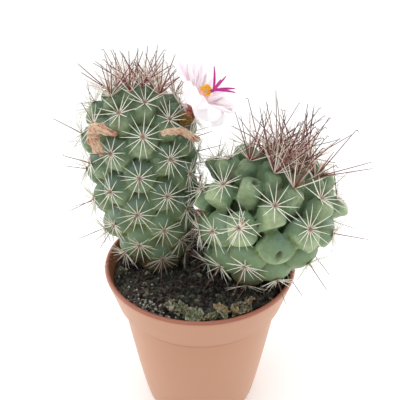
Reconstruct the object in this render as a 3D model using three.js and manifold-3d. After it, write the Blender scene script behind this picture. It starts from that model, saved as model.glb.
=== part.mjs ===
// Potted Mammillaria fraileana: two spiny stems, one open flower, withered flowers, peat and a round pot.
// Millimetres, +Z up. The origin is the centre of the pot's underside, and +Y points to the back.
import * as THREE from 'three';
import Module from 'manifold-3d';
import { mergeVertices } from 'three/addons/utils/BufferGeometryUtils.js';
import { ConvexHull } from 'three/addons/math/ConvexHull.js';
// Driving dimensions of the pot and its filling
const POT = {
  height: 60.2, rimRadius: 32.5, collarHeight: 12.0, collarFootRadius: 29.8, bodyTopRadius: 28.0,
  baseRadius: 22.2, edgeRadius: 1.8, wall: 1.2, lip: 1.5, floor: 1.6, sides: 36,
};
const DRAIN = { count: 5, radius: 2.4, circle: 14.5, sides: 8 };
const SOIL = { belowRim: 5.0, swell: 0.5, rings: 5, grains: 22, grainRadius: 1.5, margin: 3.2 };
const GAP = 0.3;
const SOIL_Z = POT.height - SOIL.belowRim;

// Driving dimensions of the two stems. Each grows from its foot to its tip along a bowed axis. The skin is
// widest between swell and dome, as fractions of the axis, and tubercles stand on it in one spiral. They lean
// up by the first ascent where the skin faces down and by the second where it faces up, in degrees.
const LEFT = {
  foot: [-15.15, 6.09], tip: [-18.63, 8.25, POT.height + 56.75], bow: [-2.73, -1.65],
  radius: 17.81, footShare: 0.544, swell: 0.498, dome: 0.71, domePower: 2.12,
  hand: 1, divergence: 137.993, turn: 323.28, start: 0.873, spacing: 9.83, youngShare: 0.381, ripening: 25.45,
  relief: 3.3, waist: 0.26, ascent: [4, 18], bald: [], youngSpine: 11.5,
};
const RIGHT = {
  foot: [13.59, 6.53], tip: [24.28, -7.32, POT.height + 38.03], bow: [1.14, -4.01],
  radius: 21.98, footShare: 0.594, swell: 0.684, dome: 0.541, domePower: 2.523,
  hand: -1, divergence: 137.36, turn: 260.27, start: 0.77, spacing: 11.27, youngShare: 0.375, ripening: 26.98,
  relief: 5.2, waist: 0.24, ascent: [4, 30], bald: [16, 34], youngSpine: 14,
};
const PARTING = { point: [0.85, 1.9], normal: [0.975, -0.222], gap: 0.5, tipMargin: 1.1 };
const PLUG = { depth: 5.0, taper: 1.2, sides: 20 };

// Driving dimensions of the spines. Tilts are in degrees from the skin, and a spread is what chance adds.
const SPINES = {
  radials: 7, padRadius: 0.55, padRise: 0.5, coreRadius: 0.24, fullSize: 6,
  radialLength: 7.6, radialTilt: 17, tiltSpread: 6, youngTilt: 38, youngShare: 0.85,
  centralLength: 9.2, centralTilt: 78, hook: 1.4, hookBend: 0.62, hookThinning: 0.55,
  lengthSpread: 0.08, attempts: 9, tiltStep: 5, stunted: 0.65, rooting: 1.4, clearance: 0.35, seed: 7,
};

// Driving dimensions of the flower. Its place and facing are those of the cup's mouth. A petal stands at its
// turn from the top. It leaves the cup at its rise and ends at its lift, in degrees from the flower's plane.
// Its length and width are shares of the usual ones, and its twist is in degrees at its tip.
const FLOWER = {
  mouth: [0.3, 2.8, POT.height + 53.3], facing: [0.7, -0.1, 0.7],
  cupDepth: 3.4, cupRadius: 2.4, cupWall: 0.7, stalkRadius: 1.5, rootDepth: 1.3,
  petalLength: 12.8, petalWidth: 5.6, petalThickness: 0.65, dish: 0.26,
};
const PETALS = [
  { turn: -30, rise: 48, lift: 8 }, { turn: -85, rise: 48, lift: 12 },
  { turn: -148, rise: 52, lift: 18, length: 0.83 },
  { turn: 152, rise: 45, lift: 32, length: 0.76, width: 1.1 },
  { turn: 122, rise: 78, lift: -44, width: 1.35 },
  { turn: 78, rise: 72, lift: -44, length: 0.9, width: 1.55 },
  { turn: -2, rise: 44, lift: 22, length: 0.95 }, { turn: -55, rise: 44, lift: 26, length: 0.95 },
  { turn: -112, rise: 44, lift: 30, length: 0.95 }, { turn: -172, rise: 44, lift: 26, length: 0.78 },
  { turn: 26, rise: 40, lift: 14, width: 1.4, twist: -42 },
  { turn: 99, rise: 84, lift: -56, length: 1.02, width: 1.8 },
];
const STALK_BEND = [-2.6, 3.7, 107.4];
const FLOWER_AXIL = [-6.7, 4.6, 105.3];
const STAMENS = {
  count: 20, inner: 0.72, outer: 1.45, ringHeight: 1.6, filament: 0.2, anther: 0.45,
  spread: [1.15, 1.85], tops: [3.6, 1.5], unevenness: 0.4, seed: 3,
};
const PISTIL = {
  radius: 0.4, length: 7.6, lobeTurns: [-20, -90, -150, 165, 78], lobeLength: 6.4, lobeSpread: [41, 48],
  lobeRadii: [0.34, 0.3, 0.14],
};

// The withered flowers and the old bud. Each grows from an axil, the valley nearest to its first point, and
// then its path lies over the tubercles.
const WITHERED_LEFT = {
  axil: [-24.1, -4.1, 105.3],
  path: [[-23.6, -10.6, 107.2], [-26.6, -10.7, 108.4], [-29.4, -9.6, 107.6], [-30.2, -9.6, 105.4],
    [-28.6, -11.2, 103.4], [-26.4, -12.4, 101.6]],
  radii: [0.8, 1.0, 1.2, 1.5, 1.6, 1.5, 1.3, 0.8], sides: 7,
};
const WITHERED_RIGHT = {
  axil: [-5.5, 5.4, 100.7],
  path: [[-0.6, 1.6, 102.6], [-1.9, -4.2, 104.6], [-5.0, -7.2, 106.6], [-7.9, -9.0, 107.2],
    [-10.6, -9.9, 107.0]],
  radii: [0.7, 0.8, 0.9, 1.0, 0.9, 1.0, 0.7], sides: 6,
};
const OLD_BUD = {
  axil: [-8.3, 1.1, 106.1],
  path: [[-5.2, -1.6, 107.7], [-3.9, -2.6, 108.9], [-2.7, -3.4, 110.2], [-2.0, -3.6, 111.6]],
  radii: [0.9, 1.3, 2.1, 1.9, 1.0, 0.5], sides: 8,
};

// Small vector helpers
const vec = (x, y, z) => new THREE.Vector3(x, y, z);
const degrees = THREE.MathUtils.degToRad;
const mix = (a, b, t) => a + (b - a) * t;
const clamp01 = (t) => Math.min(1, Math.max(0, t));
const GOLDEN_TURN = Math.PI * (3 - Math.sqrt(5));

function seededRandom(seed) {
  let state = seed >>> 0;
  return () => {
    state = (state + 0x6d2b79f5) >>> 0;
    let t = Math.imul(state ^ (state >>> 15), 1 | state);
    t = (t + Math.imul(t ^ (t >>> 7), 61 | t)) ^ t;
    return ((t ^ (t >>> 14)) >>> 0) / 4294967296;
  };
}

// Two directions square to an axis, the first as near as possible to a guide
function squareTo(axis, guide) {
  const first = guide.clone().addScaledVector(axis, -guide.dot(axis)).normalize();
  return [first, axis.clone().cross(first)];
}

// Closed bodies: joining and cutting
const wasm = await Module();
wasm.setup();

function geometryFrom(points, triangles) {
  const geometry = new THREE.BufferGeometry();
  const numbers = points.flatMap((p) => [p.x, p.y, p.z]);
  geometry.setAttribute('position', new THREE.Float32BufferAttribute(numbers, 3));
  geometry.setIndex(triangles.flat());
  return geometry;
}

function solidFrom(geometry) {
  const bare = geometry.clone();
  for (const name of Object.keys(bare.attributes)) {
    if (name !== 'position') bare.deleteAttribute(name);
  }
  const merged = mergeVertices(bare, 1e-4);
  return new wasm.Manifold(new wasm.Mesh({
    numProp: 3,
    vertProperties: new Float32Array(merged.attributes.position.array),
    triVerts: new Uint32Array(merged.index.array),
  }));
}

function geometryOf(solid) {
  const mesh = solid.getMesh();
  const geometry = new THREE.BufferGeometry();
  geometry.setAttribute('position', new THREE.BufferAttribute(mesh.vertProperties, 3));
  geometry.setIndex(new THREE.BufferAttribute(mesh.triVerts, 1));
  return geometry;
}

// A body of revolution about +Z from [radius, height] points that run up its outside
function turned(profile, sides) {
  const geometry = new THREE.LatheGeometry(profile.map(([r, z]) => new THREE.Vector2(r, z)), sides);
  return geometry.rotateX(Math.PI / 2);
}

// A closed limb along a list of points, with a radius at each, and pointed where a radius is 0
function limb(path, radii, sides) {
  const points = [];
  const triangles = [];
  const rings = [];
  let side = squareTo(path[1].clone().sub(path[0]).normalize(), Math.abs(path[1].x - path[0].x) > 0.9
    ? vec(0, 1, 0) : vec(1, 0.2, 0.1))[0];
  path.forEach((point, i) => {
    const ahead = path[Math.min(i + 1, path.length - 1)];
    const behind = path[Math.max(i - 1, 0)];
    const along = ahead.clone().sub(behind).normalize();
    const [a, b] = squareTo(along, side);
    side = a;
    if (radii[i] === 0) {
      rings.push([points.push(point.clone()) - 1]);
      return;
    }
    rings.push(Array.from({ length: sides }, (_, j) => {
      const angle = (2 * Math.PI * j) / sides;
      return points.push(point.clone().addScaledVector(a, radii[i] * Math.cos(angle))
        .addScaledVector(b, radii[i] * Math.sin(angle))) - 1;
    }));
  });
  for (let i = 0; i + 1 < rings.length; i += 1) {
    for (let j = 0; j < sides; j += 1) {
      const next = (j + 1) % sides;
      const [low, high] = [rings[i], rings[i + 1]];
      if (high.length === 1) triangles.push([low[j], low[next], high[0]]);
      else if (low.length === 1) triangles.push([low[0], high[next], high[j]]);
      else triangles.push([low[j], low[next], high[next]], [low[j], high[next], high[j]]);
    }
  }
  const closeEnd = (ring, centre, flip) => {
    if (ring.length === 1) return;
    const hub = points.push(centre.clone()) - 1;
    ring.forEach((p, j) => {
      const q = ring[(j + 1) % sides];
      triangles.push(flip ? [hub, q, p] : [hub, p, q]);
    });
  };
  closeEnd(rings[0], path[0], true);
  closeEnd(rings[rings.length - 1], path[path.length - 1], false);
  return geometryFrom(points, triangles);
}

// The stem's skin: axis, radius and the spiral of tubercles
function axisPoint(stem, u) {
  const foot = vec(stem.foot[0], stem.foot[1], SOIL_Z);
  const tip = vec(...stem.tip);
  const pull = foot.clone().add(tip).multiplyScalar(0.5).add(vec(stem.bow[0], stem.bow[1], 0));
  const point = foot.clone().multiplyScalar((1 - u) ** 2).addScaledVector(pull, 2 * u * (1 - u))
    .addScaledVector(tip, u * u);
  const along = pull.clone().sub(foot).multiplyScalar(1 - u).addScaledVector(tip.clone().sub(pull), u);
  return { point, along: along.normalize() };
}

function skinRadius(stem, u) {
  const low = stem.footShare + (1 - stem.footShare) * Math.sin((clamp01(u / stem.swell) * Math.PI) / 2);
  const high = clamp01((u - stem.dome) / (1 - stem.dome)) ** stem.domePower;
  return stem.radius * low * (1 - high) ** (1 / stem.domePower);
}

// Samples down the skin from the tip, with the path length and the count of tubercles passed
function skinTable(stem) {
  const count = 240;
  const table = [];
  for (let i = 0; i < count; i += 1) {
    const u = 1 - (i / (count - 1)) ** 1.5;
    const row = { ...axisPoint(stem, u), radius: skinRadius(stem, u), down: 0, path: 0, passed: 0, angle: 0 };
    const last = table[i - 1];
    if (last) {
      row.down = last.down + row.point.distanceTo(last.point);
      const step = Math.hypot(row.down - last.down, row.radius - last.radius);
      row.path = last.path + step;
      row.step = step;
    }
    const age = clamp01(row.path / stem.ripening);
    row.spacing = stem.spacing * mix(stem.youngShare, 1, age * age * (3 - 2 * age));
    row.density = (2 * Math.PI * row.radius) / row.spacing ** 2;
    if (last) row.passed = last.passed + ((row.density + last.density) / 2) * row.step;
    table.push(row);
  }
  // The slope of the skin, and a colatitude on a sphere that keeps the skin's small shapes true
  const ends = table.length - 1;
  table.forEach((row, i) => {
    const a = table[Math.max(i - 1, 0)];
    const b = table[Math.min(i + 1, ends)];
    row.slope = Math.atan((b.radius - a.radius) / (b.down - a.down));
  });
  let stretch = 0;
  const half = Math.floor(ends / 2);
  const stretches = table.map((row, i) => {
    if (i > 1) stretch += row.step / ((row.radius + table[i - 1].radius) / 2);
    return stretch;
  });
  table.forEach((row, i) => {
    row.angle = i === 0 ? 0 : 2 * Math.atan(Math.exp(stretches[i] - stretches[half]));
  });
  return table;
}

function sampleAt(table, key, value) {
  let i = table.findIndex((row) => row[key] >= value);
  if (i < 1) i = i < 0 ? table.length - 1 : 1;
  const [a, b] = [table[i - 1], table[i]];
  const t = (value - a[key]) / (b[key] - a[key]);
  const numbers = ['radius', 'slope', 'angle', 'spacing'].map((name) => [name, mix(a[name], b[name], t)]);
  return {
    point: a.point.clone().lerp(b.point, t),
    along: a.along.clone().lerp(b.along, t).normalize(),
    ...Object.fromEntries(numbers),
  };
}

// Keeps a point on its own stem's side of the plane where the stems press together, and inside the pot's rim
function keepAside(stem, point, margin = PARTING.gap / 2) {
  const side = stem === RIGHT ? 1 : -1;
  const normal = vec(PARTING.normal[0] * side, PARTING.normal[1] * side, 0);
  const reach = normal.dot(point.clone().sub(vec(PARTING.point[0], PARTING.point[1], 0)));
  if (reach < margin) point.addScaledVector(normal, margin - reach);
  const room = POT.rimRadius - POT.lip - 0.4 - margin + Math.max(0, point.z - POT.height - 0.8);
  const out = Math.hypot(point.x, point.y);
  if (out > room) point.set((point.x * room) / out, (point.y * room) / out, point.z);
  return point;
}

// How far a tubercle leans up: more where the skin faces up, and little again near the stem's tip
function leanOf(stem, normal) {
  const upper = clamp01((normal.z + 0.12) / 0.5);
  const crown = clamp01((normal.z - 0.7) / 0.3);
  return degrees(mix(...stem.ascent, upper * (1 - 0.7 * crown)));
}

// The tips of the tubercles, in the order of their age. A tip's normal is the way its tubercle points.
const LOWEST_TIP = 2.2;

function tubercles(stem, table) {
  const total = table[table.length - 1].passed;
  const cells = [];
  for (let k = 0; k + stem.start < total; k += 1) {
    const row = sampleAt(table, 'passed', k + stem.start);
    const [across, beside] = squareTo(row.along, vec(1, 0, 0));
    const turn = degrees(stem.turn + stem.hand * stem.divergence * k);
    const out = across.multiplyScalar(Math.cos(turn)).addScaledVector(beside, Math.sin(turn));
    const [flat, steep] = [Math.cos(row.slope), Math.sin(row.slope)];
    const normal = out.clone().multiplyScalar(flat).addScaledVector(row.along, steep);
    const uphill = row.along.clone().multiplyScalar(flat).addScaledVector(out, -steep);
    const lean = leanOf(stem, normal);
    normal.multiplyScalar(Math.cos(lean)).addScaledVector(uphill, Math.sin(lean));
    const tip = row.point.clone().addScaledVector(out, row.radius);
    if (tip.z < SOIL_Z + LOWEST_TIP) continue;
    cells.push({
      index: k, tip: keepAside(stem, tip, PARTING.tipMargin), normal, angle: row.angle, turn,
      size: row.spacing, age: row.spacing / stem.spacing, up: row.along,
    });
  }
  return cells;
}

// The skin's mesh. Tubercle tips and a ring at the foot are joined as their places on a sphere are, and each
// triangle of neighbours sinks to a valley in the middle of its sides and deeper at its centre. The depths
// are shares of the stem's relief.
const SINKS = { shoulder: 0.16, valley: 0.8, pit: 1.12 };
const FOOT_RING = 16;
const GROUND = SOIL_Z + SOIL.swell + GAP;

function skinMesh(stem) {
  const table = skinTable(stem);
  const cells = tubercles(stem, table);
  const foot = stem.radius * stem.footShare;
  const last = table[table.length - 1];
  const ring = Array.from({ length: FOOT_RING }, (_, i) => {
    const turn = (2 * Math.PI * i) / FOOT_RING;
    const normal = vec(Math.cos(turn), Math.sin(turn), 0);
    const tip = vec(...stem.foot, GROUND).addScaledVector(normal, foot - 1);
    return { flat: true, normal, tip, angle: last.angle + 0.05, turn };
  });
  const under = {
    flat: true, under: true, normal: vec(0, 0, -1), tip: vec(...stem.foot, GROUND), angle: Math.PI, turn: 0,
  };
  const corners = [...cells, ...ring, under];
  corners.forEach((corner) => {
    corner.place = vec(Math.sin(corner.angle) * Math.cos(corner.turn), Math.sin(corner.angle)
      * Math.sin(corner.turn), Math.cos(corner.angle));
    corner.place.corner = corner;
  });
  const hull = new ConvexHull().setFromPoints(corners.map((corner) => corner.place));

  const points = [];
  const triangles = [];
  const pits = [];
  const known = new Map();
  const addPoint = (key, make) => {
    if (!known.has(key)) known.set(key, points.push(keepAside(stem, make())) - 1);
    return known.get(key);
  };
  corners.forEach((corner, i) => {
    corner.id = i;
    corner.after = new Map();
    if (corner.flat) corner.vertex = addPoint(`tip${i}`, () => corner.tip.clone());
  });
  const sunk = (a, b, share, depth) => {
    const point = a.tip.clone().lerp(b.tip, share);
    const normal = a.normal.clone().lerp(b.normal, share).normalize();
    if (a.under || b.under) return point;
    const low = point.addScaledVector(normal, -depth);
    low.z = Math.max(low.z, GROUND);
    return low;
  };
  const reliefOf = (corner) => (corner.flat ? 0 : stem.relief * corner.age);
  const shoulder = (a, b) => addPoint(`s${a.id}:${b.id}`, () => sunk(a, b, b.flat ? 0.35 : stem.waist,
    SINKS.shoulder * reliefOf(a)));
  const valley = (a, b) => addPoint(`v${Math.min(a.id, b.id)}:${Math.max(a.id, b.id)}`, () => sunk(a, b, 0.5,
    (SINKS.valley * (reliefOf(a) + reliefOf(b))) / 2));

  for (const face of hull.faces) {
    const loop = [face.getEdge(0), face.getEdge(1), face.getEdge(2)].map((edge) => edge.head().point.corner);
    if (loop.every((corner) => corner.flat)) {
      triangles.push(loop.map((corner) => corner.vertex));
      continue;
    }
    const rim = [];
    loop.forEach((a, i) => {
      const b = loop[(i + 1) % 3];
      const c = loop[(i + 2) % 3];
      if (!a.flat) rim.push(shoulder(a, b));
      if (!a.flat || !b.flat) rim.push(valley(a, b));
      if (!b.flat) {
        rim.push(shoulder(b, a));
        b.after.set(shoulder(b, a), shoulder(b, c));
      } else rim.push(b.vertex);
    });
    const centre = loop.reduce((sum, corner) => sum.add(corner.tip), vec(0, 0, 0)).multiplyScalar(1 / 3);
    const normal = loop.reduce((sum, corner) => sum.add(corner.normal), vec(0, 0, 0)).normalize();
    const depth = loop.reduce((sum, corner) => sum + reliefOf(corner), 0) / 3;
    centre.addScaledVector(normal, -SINKS.pit * depth);
    centre.z = Math.max(centre.z, GROUND);
    const pit = addPoint(`pit${loop.map((corner) => corner.id).join(':')}`, () => centre);
    pits.push({ point: centre, normal });
    rim.forEach((vertex, i) => triangles.push([vertex, rim[(i + 1) % rim.length], pit]));
  }
  return { cells, points, triangles, pits };
}

// Joins an outer ring to an inner one around a tubercle's tip. Both run the same way round.
function bridge(outer, inner, triangles, angleOf) {
  const sorted = (ring) => ring.map((id) => ({ id, angle: angleOf(id) })).sort((a, b) => a.angle - b.angle);
  const [out, within] = [sorted(outer), sorted(inner)];
  let [i, j] = [0, 0];
  while (i < out.length || j < within.length) {
    const o = out[i % out.length];
    const w = within[j % within.length];
    const nextOut = out[(i + 1) % out.length];
    const nextIn = within[(j + 1) % within.length];
    const outAngle = i + 1 < out.length ? nextOut.angle : nextOut.angle + 2 * Math.PI;
    const inAngle = j + 1 < within.length ? nextIn.angle : nextIn.angle + 2 * Math.PI;
    if (j >= within.length || (i < out.length && outAngle <= inAngle)) {
      triangles.push([o.id, nextOut.id, w.id]);
      i += 1;
    } else {
      triangles.push([w.id, o.id, nextIn.id]);
      j += 1;
    }
  }
}

// A grid of triangles that answers how near a point comes to them
class Obstacles {
  constructor(cell = 3) {
    this.cell = cell;
    this.bins = new Map();
  }

  add(corners, owner = null) {
    const box = new THREE.Box3().setFromPoints(corners).expandByScalar(0.8);
    const item = { triangle: new THREE.Triangle(...corners), owner };
    this.eachBin(box, (key) => {
      if (!this.bins.has(key)) this.bins.set(key, []);
      this.bins.get(key).push(item);
    });
  }

  addGeometry(geometry) {
    const { position } = geometry.attributes;
    const at = (i) => vec().fromBufferAttribute(position, geometry.index.getX(i));
    for (let i = 0; i < geometry.index.count; i += 3) this.add([at(i), at(i + 1), at(i + 2)]);
  }

  eachBin(box, visit) {
    const low = box.min.clone().divideScalar(this.cell).floor();
    const high = box.max.clone().divideScalar(this.cell).floor();
    for (let x = low.x; x <= high.x; x += 1) {
      for (let y = low.y; y <= high.y; y += 1) {
        for (let z = low.z; z <= high.z; z += 1) visit(`${x},${y},${z}`);
      }
    }
  }

  isNear(point, reach, owner) {
    const bin = this.bins.get(point.clone().divideScalar(this.cell).floor().toArray().join());
    const nearest = vec();
    return Boolean(bin) && bin.some((item) => (!owner || item.owner !== owner)
      && item.triangle.closestPointToPoint(point, nearest).distanceTo(point) < reach);
  }
}

// Least distance between two straight pieces
function pieceDistance(p, q) {
  const d1 = p.end.clone().sub(p.start);
  const d2 = q.end.clone().sub(q.start);
  const r = p.start.clone().sub(q.start);
  const [a, e, f, c, b] = [d1.dot(d1), d2.dot(d2), d2.dot(r), d1.dot(r), d1.dot(d2)];
  const denominator = a * e - b * b;
  let s = denominator > 1e-9 ? clamp01((b * f - c * e) / denominator) : 0;
  const t = clamp01((b * s + f) / e);
  s = clamp01((b * t - c) / a);
  return p.start.clone().addScaledVector(d1, s).distanceTo(q.start.clone().addScaledVector(d2, t));
}

// A spine's straight pieces, with a hook at the end of a central one
function spinePath(root, direction, length, hookSide) {
  if (!hookSide) return [root, root.clone().addScaledVector(direction, length)];
  const bend = root.clone().addScaledVector(direction, length - SPINES.hookBend);
  const back = direction.clone().multiplyScalar(-0.35).addScaledVector(hookSide, 1).normalize();
  return [root, bend, bend.clone().addScaledVector(back, SPINES.hook)];
}

const spinesPlaced = [];

function spineIsClear(stem, path, owner, obstacles) {
  const pieces = [];
  for (let i = 0; i + 1 < path.length; i += 1) pieces.push({ start: path[i], end: path[i + 1], owner });
  for (const piece of pieces) {
    const length = piece.start.distanceTo(piece.end);
    const steps = Math.ceil(length / 0.5);
    const rooted = piece.start === path[0] ? Math.ceil(SPINES.rooting / 0.5) : 0;
    for (let i = 0; i <= steps; i += 1) {
      const point = piece.start.clone().lerp(piece.end, i / steps);
      if (obstacles.isNear(point, SPINES.clearance, i < rooted ? stem : null)) return false;
    }
  }
  for (const other of spinesPlaced) {
    if (other.owner === owner) continue;
    for (const piece of pieces) {
      if (pieceDistance(piece, other) < SPINES.clearance + 0.1) return false;
    }
  }
  spinesPlaced.push(...pieces);
  return true;
}

// Areole pads and spines. Each spine rises straight from one small triangle of its pad.
function growSpines(stem, skin, obstacles, random) {
  const { points, triangles, cells } = skin;
  for (const cell of cells) {
    const bald = stem.bald.includes(cell.index);
    const radials = SPINES.radials;
    const [across, beside] = squareTo(cell.normal, cell.up.clone().addScaledVector(vec(1, 0, 0), 0.2));
    const start = random() * Math.PI;
    const at = (radius, angle, rise) => points.push(cell.tip.clone()
      .addScaledVector(across, radius * Math.cos(angle)).addScaledVector(beside, radius * Math.sin(angle))
      .addScaledVector(cell.normal, rise)) - 1;
    const small = Math.min(1, cell.size / SPINES.fullSize);
    const pad = Array.from({ length: radials }, (_, i) => at(SPINES.padRadius * small,
      start + (2 * Math.PI * i) / radials, 0));
    const core = [0, 1, 2].map((i) => at(SPINES.coreRadius * small, start + 0.3 + (2 * Math.PI * i) / 3,
      bald ? 0.1 : SPINES.padRise * small));
    const angleOf = (id) => {
      const arm = points[id].clone().sub(cell.tip);
      return (Math.atan2(arm.dot(beside), arm.dot(across)) + 4 * Math.PI - start + 0.001) % (2 * Math.PI);
    };
    bridge([...cell.after.keys()], pad, triangles, angleOf);
    const crown = [];
    bridge(pad, core, crown, angleOf);
    const young = clamp01((1 - cell.age) / 0.5);
    const root = cell.tip.clone().addScaledVector(cell.normal, 0.25 * small);
    for (const base of [...crown, core.slice()]) {
      const fromPad = base.filter((id) => pad.includes(id)).length;
      if (bald || fromPad === 1) {
        triangles.push(base);
        continue;
      }
      const central = fromPad === 0;
      const middle = base.reduce((sum, id) => sum.add(points[id]), vec(0, 0, 0)).multiplyScalar(1 / 3);
      const outward = middle.clone().sub(root);
      outward.addScaledVector(cell.normal, -outward.dot(cell.normal)).normalize();
      let grown = null;
      for (let attempt = 0; attempt < SPINES.attempts && !grown; attempt += 1) {
        const wander = random() - 0.5;
        const tilt = degrees(central ? SPINES.centralTilt - attempt * SPINES.tiltStep
          : SPINES.radialTilt + SPINES.tiltSpread * random() + young * SPINES.youngTilt
            + attempt * SPINES.tiltStep);
        const side = central
          ? across.clone().multiplyScalar(Math.cos(wander * 5)).addScaledVector(beside, Math.sin(wander * 5))
          : outward.clone().addScaledVector(outward.clone().cross(cell.normal), wander * 0.3).normalize();
        const direction = side.clone().multiplyScalar(Math.cos(tilt))
          .addScaledVector(cell.normal, Math.sin(tilt));
        const full = central ? mix(SPINES.centralLength, stem.youngSpine, young)
          : mix(SPINES.radialLength, stem.youngSpine * SPINES.youngShare, young);
        const length = full * (1 + SPINES.lengthSpread * (2 * random() - 1))
          * (attempt > SPINES.attempts - 3 ? SPINES.stunted : 1);
        const path = spinePath(middle, direction, length, central ? side : null);
        if (spineIsClear(stem, path, cell, obstacles)) grown = path;
      }
      if (!grown) {
        triangles.push(base);
        continue;
      }
      let ring = base;
      if (central) {
        const bend = base.map((id) => points.push(grown[1].clone().add(points[id].clone().sub(middle)
          .multiplyScalar(SPINES.hookThinning / small))) - 1);
        base.forEach((id, i) => {
          const next = (i + 1) % 3;
          triangles.push([id, base[next], bend[next]], [id, bend[next], bend[i]]);
        });
        ring = bend;
      }
      const point = points.push(grown[grown.length - 1]) - 1;
      ring.forEach((id, i) => triangles.push([id, ring[(i + 1) % 3], point]));
    }
  }
}

// The pot: base, tapered body, stepped collar and turned lip, in one wall
function makePot() {
  const {
    height, rimRadius, collarFootRadius, bodyTopRadius, baseRadius, edgeRadius, wall, lip, floor,
  } = POT;
  const collarZ = height - POT.collarHeight;
  const profile = [
    [0, 0], [baseRadius - edgeRadius, 0], [baseRadius - 0.3 * edgeRadius, 0.3 * edgeRadius],
    [baseRadius + 0.1, edgeRadius], [bodyTopRadius, collarZ - 0.5], [collarFootRadius - 0.4, collarZ],
    [collarFootRadius, collarZ + 0.5], [rimRadius - 0.15, height - 1.6], [rimRadius, height - 0.7],
    [rimRadius - 0.4, height], [rimRadius - lip + 0.3, height], [rimRadius - lip, height - 0.6],
    [rimRadius - wall - 0.3, height - 2], [collarFootRadius - wall, collarZ + 0.8],
    [bodyTopRadius - wall, collarZ - 0.8], [baseRadius - wall + 0.1, floor + 0.6],
    [baseRadius - wall - 0.6, floor], [0, floor],
  ];
  let pot = solidFrom(turned(profile, POT.sides));
  for (let i = 0; i < DRAIN.count; i += 1) {
    const turn = (2 * Math.PI * (i + 0.5)) / DRAIN.count;
    const hole = new THREE.CylinderGeometry(DRAIN.radius, DRAIN.radius, 3 * floor, DRAIN.sides);
    hole.rotateX(Math.PI / 2);
    hole.translate(DRAIN.circle * Math.cos(turn), DRAIN.circle * Math.sin(turn), floor / 2);
    pot = pot.subtract(solidFrom(hole));
  }
  return pot;
}

// The ground's height, rolling gently by a formula
function groundRise(x, y) {
  const long = Math.sin(0.42 * x + 1.3) * Math.cos(0.37 * y);
  const short = Math.sin(0.8 * y + 0.31 * x);
  return SOIL.swell * 0.5 * (long + short);
}

// A stem stands in the soil on a plain tapered plug
function plugFor(stem, grow) {
  const radius = stem.radius * stem.footShare - 1.6 + grow;
  const top = GROUND + 0.6;
  const bottom = SOIL_Z - PLUG.depth - grow;
  const plug = new THREE.CylinderGeometry(radius, radius - PLUG.taper, top - bottom, PLUG.sides);
  plug.rotateX(Math.PI / 2);
  plug.translate(stem.foot[0], stem.foot[1], (top + bottom) / 2);
  return solidFrom(plug);
}

// Soil that fills the pot, with grains and scraps lying half sunk in its top
function makeSoil() {
  const { height, rimRadius, collarFootRadius, bodyTopRadius, baseRadius, wall, floor } = POT;
  const collarZ = height - POT.collarHeight;
  const share = (SOIL_Z - 0.4 - collarZ - 0.8) / (height - 2 - collarZ - 0.8);
  const topRadius = mix(collarFootRadius - wall, rimRadius - wall - 0.3, share) - GAP;
  const profile = [
    [0, floor + GAP], [baseRadius - wall - 0.6 - GAP, floor + GAP],
    [baseRadius - wall - GAP, floor + 0.6 + GAP],
    [bodyTopRadius - wall - GAP, collarZ - 0.8 + GAP], [collarFootRadius - wall - GAP, collarZ + 0.8 + GAP],
    [topRadius, SOIL_Z - 0.4],
  ];
  for (let i = SOIL.rings - 1; i >= 0; i -= 1) {
    profile.push([((topRadius - 0.6) * i) / (SOIL.rings - 1), SOIL_Z]);
  }
  const body = turned(profile, POT.sides);
  const { position } = body.attributes;
  for (let i = 0; i < position.count; i += 1) {
    if (position.getZ(i) > SOIL_Z - 0.1) {
      position.setZ(i, SOIL_Z + groundRise(position.getX(i), position.getY(i)));
    }
  }
  let soil = solidFrom(body);
  const random = seededRandom(21);
  const grains = [];
  while (grains.length < SOIL.grains) {
    const radius = (topRadius - SOIL.margin) * Math.sqrt(random());
    const turn = 2 * Math.PI * random();
    const [x, y] = [radius * Math.cos(turn), radius * Math.sin(turn)];
    const size = SOIL.grainRadius * (0.55 + 0.6 * random());
    const atStem = [LEFT, RIGHT].some((stem) => Math.hypot(x - stem.foot[0], y - stem.foot[1])
      < stem.radius * stem.footShare + size + 1);
    const atGrain = grains.some((grain) => Math.hypot(x - grain.x, y - grain.y) < size + grain.size + GAP);
    const spin = [random(), random(), random()];
    if (atStem || atGrain) continue;
    const stone = new THREE.IcosahedronGeometry(size, 0);
    stone.scale(1, 0.6 + 0.4 * spin[0], 0.7);
    stone.rotateZ(spin[1] * Math.PI);
    stone.translate(x, y, SOIL_Z + groundRise(x, y) + 0.12 * size);
    grains.push({ x, y, size, solid: solidFrom(stone) });
  }
  soil = soil.add(wasm.Manifold.union(grains.map((grain) => grain.solid)));
  for (const stem of [LEFT, RIGHT]) soil = soil.subtract(plugFor(stem, GAP));
  return soil;
}

// Where the flower's parts stand: the mouth of its cup, with +Z along its facing
function flowerPlace() {
  const axis = vec(...FLOWER.facing).normalize();
  const [across, beside] = squareTo(axis, vec(0, 0, 1));
  return new THREE.Matrix4().makeBasis(across, beside, axis).setPosition(...FLOWER.mouth);
}

const inFlower = (x, y, z) => vec(x, y, z).applyMatrix4(flowerPlace());

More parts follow.
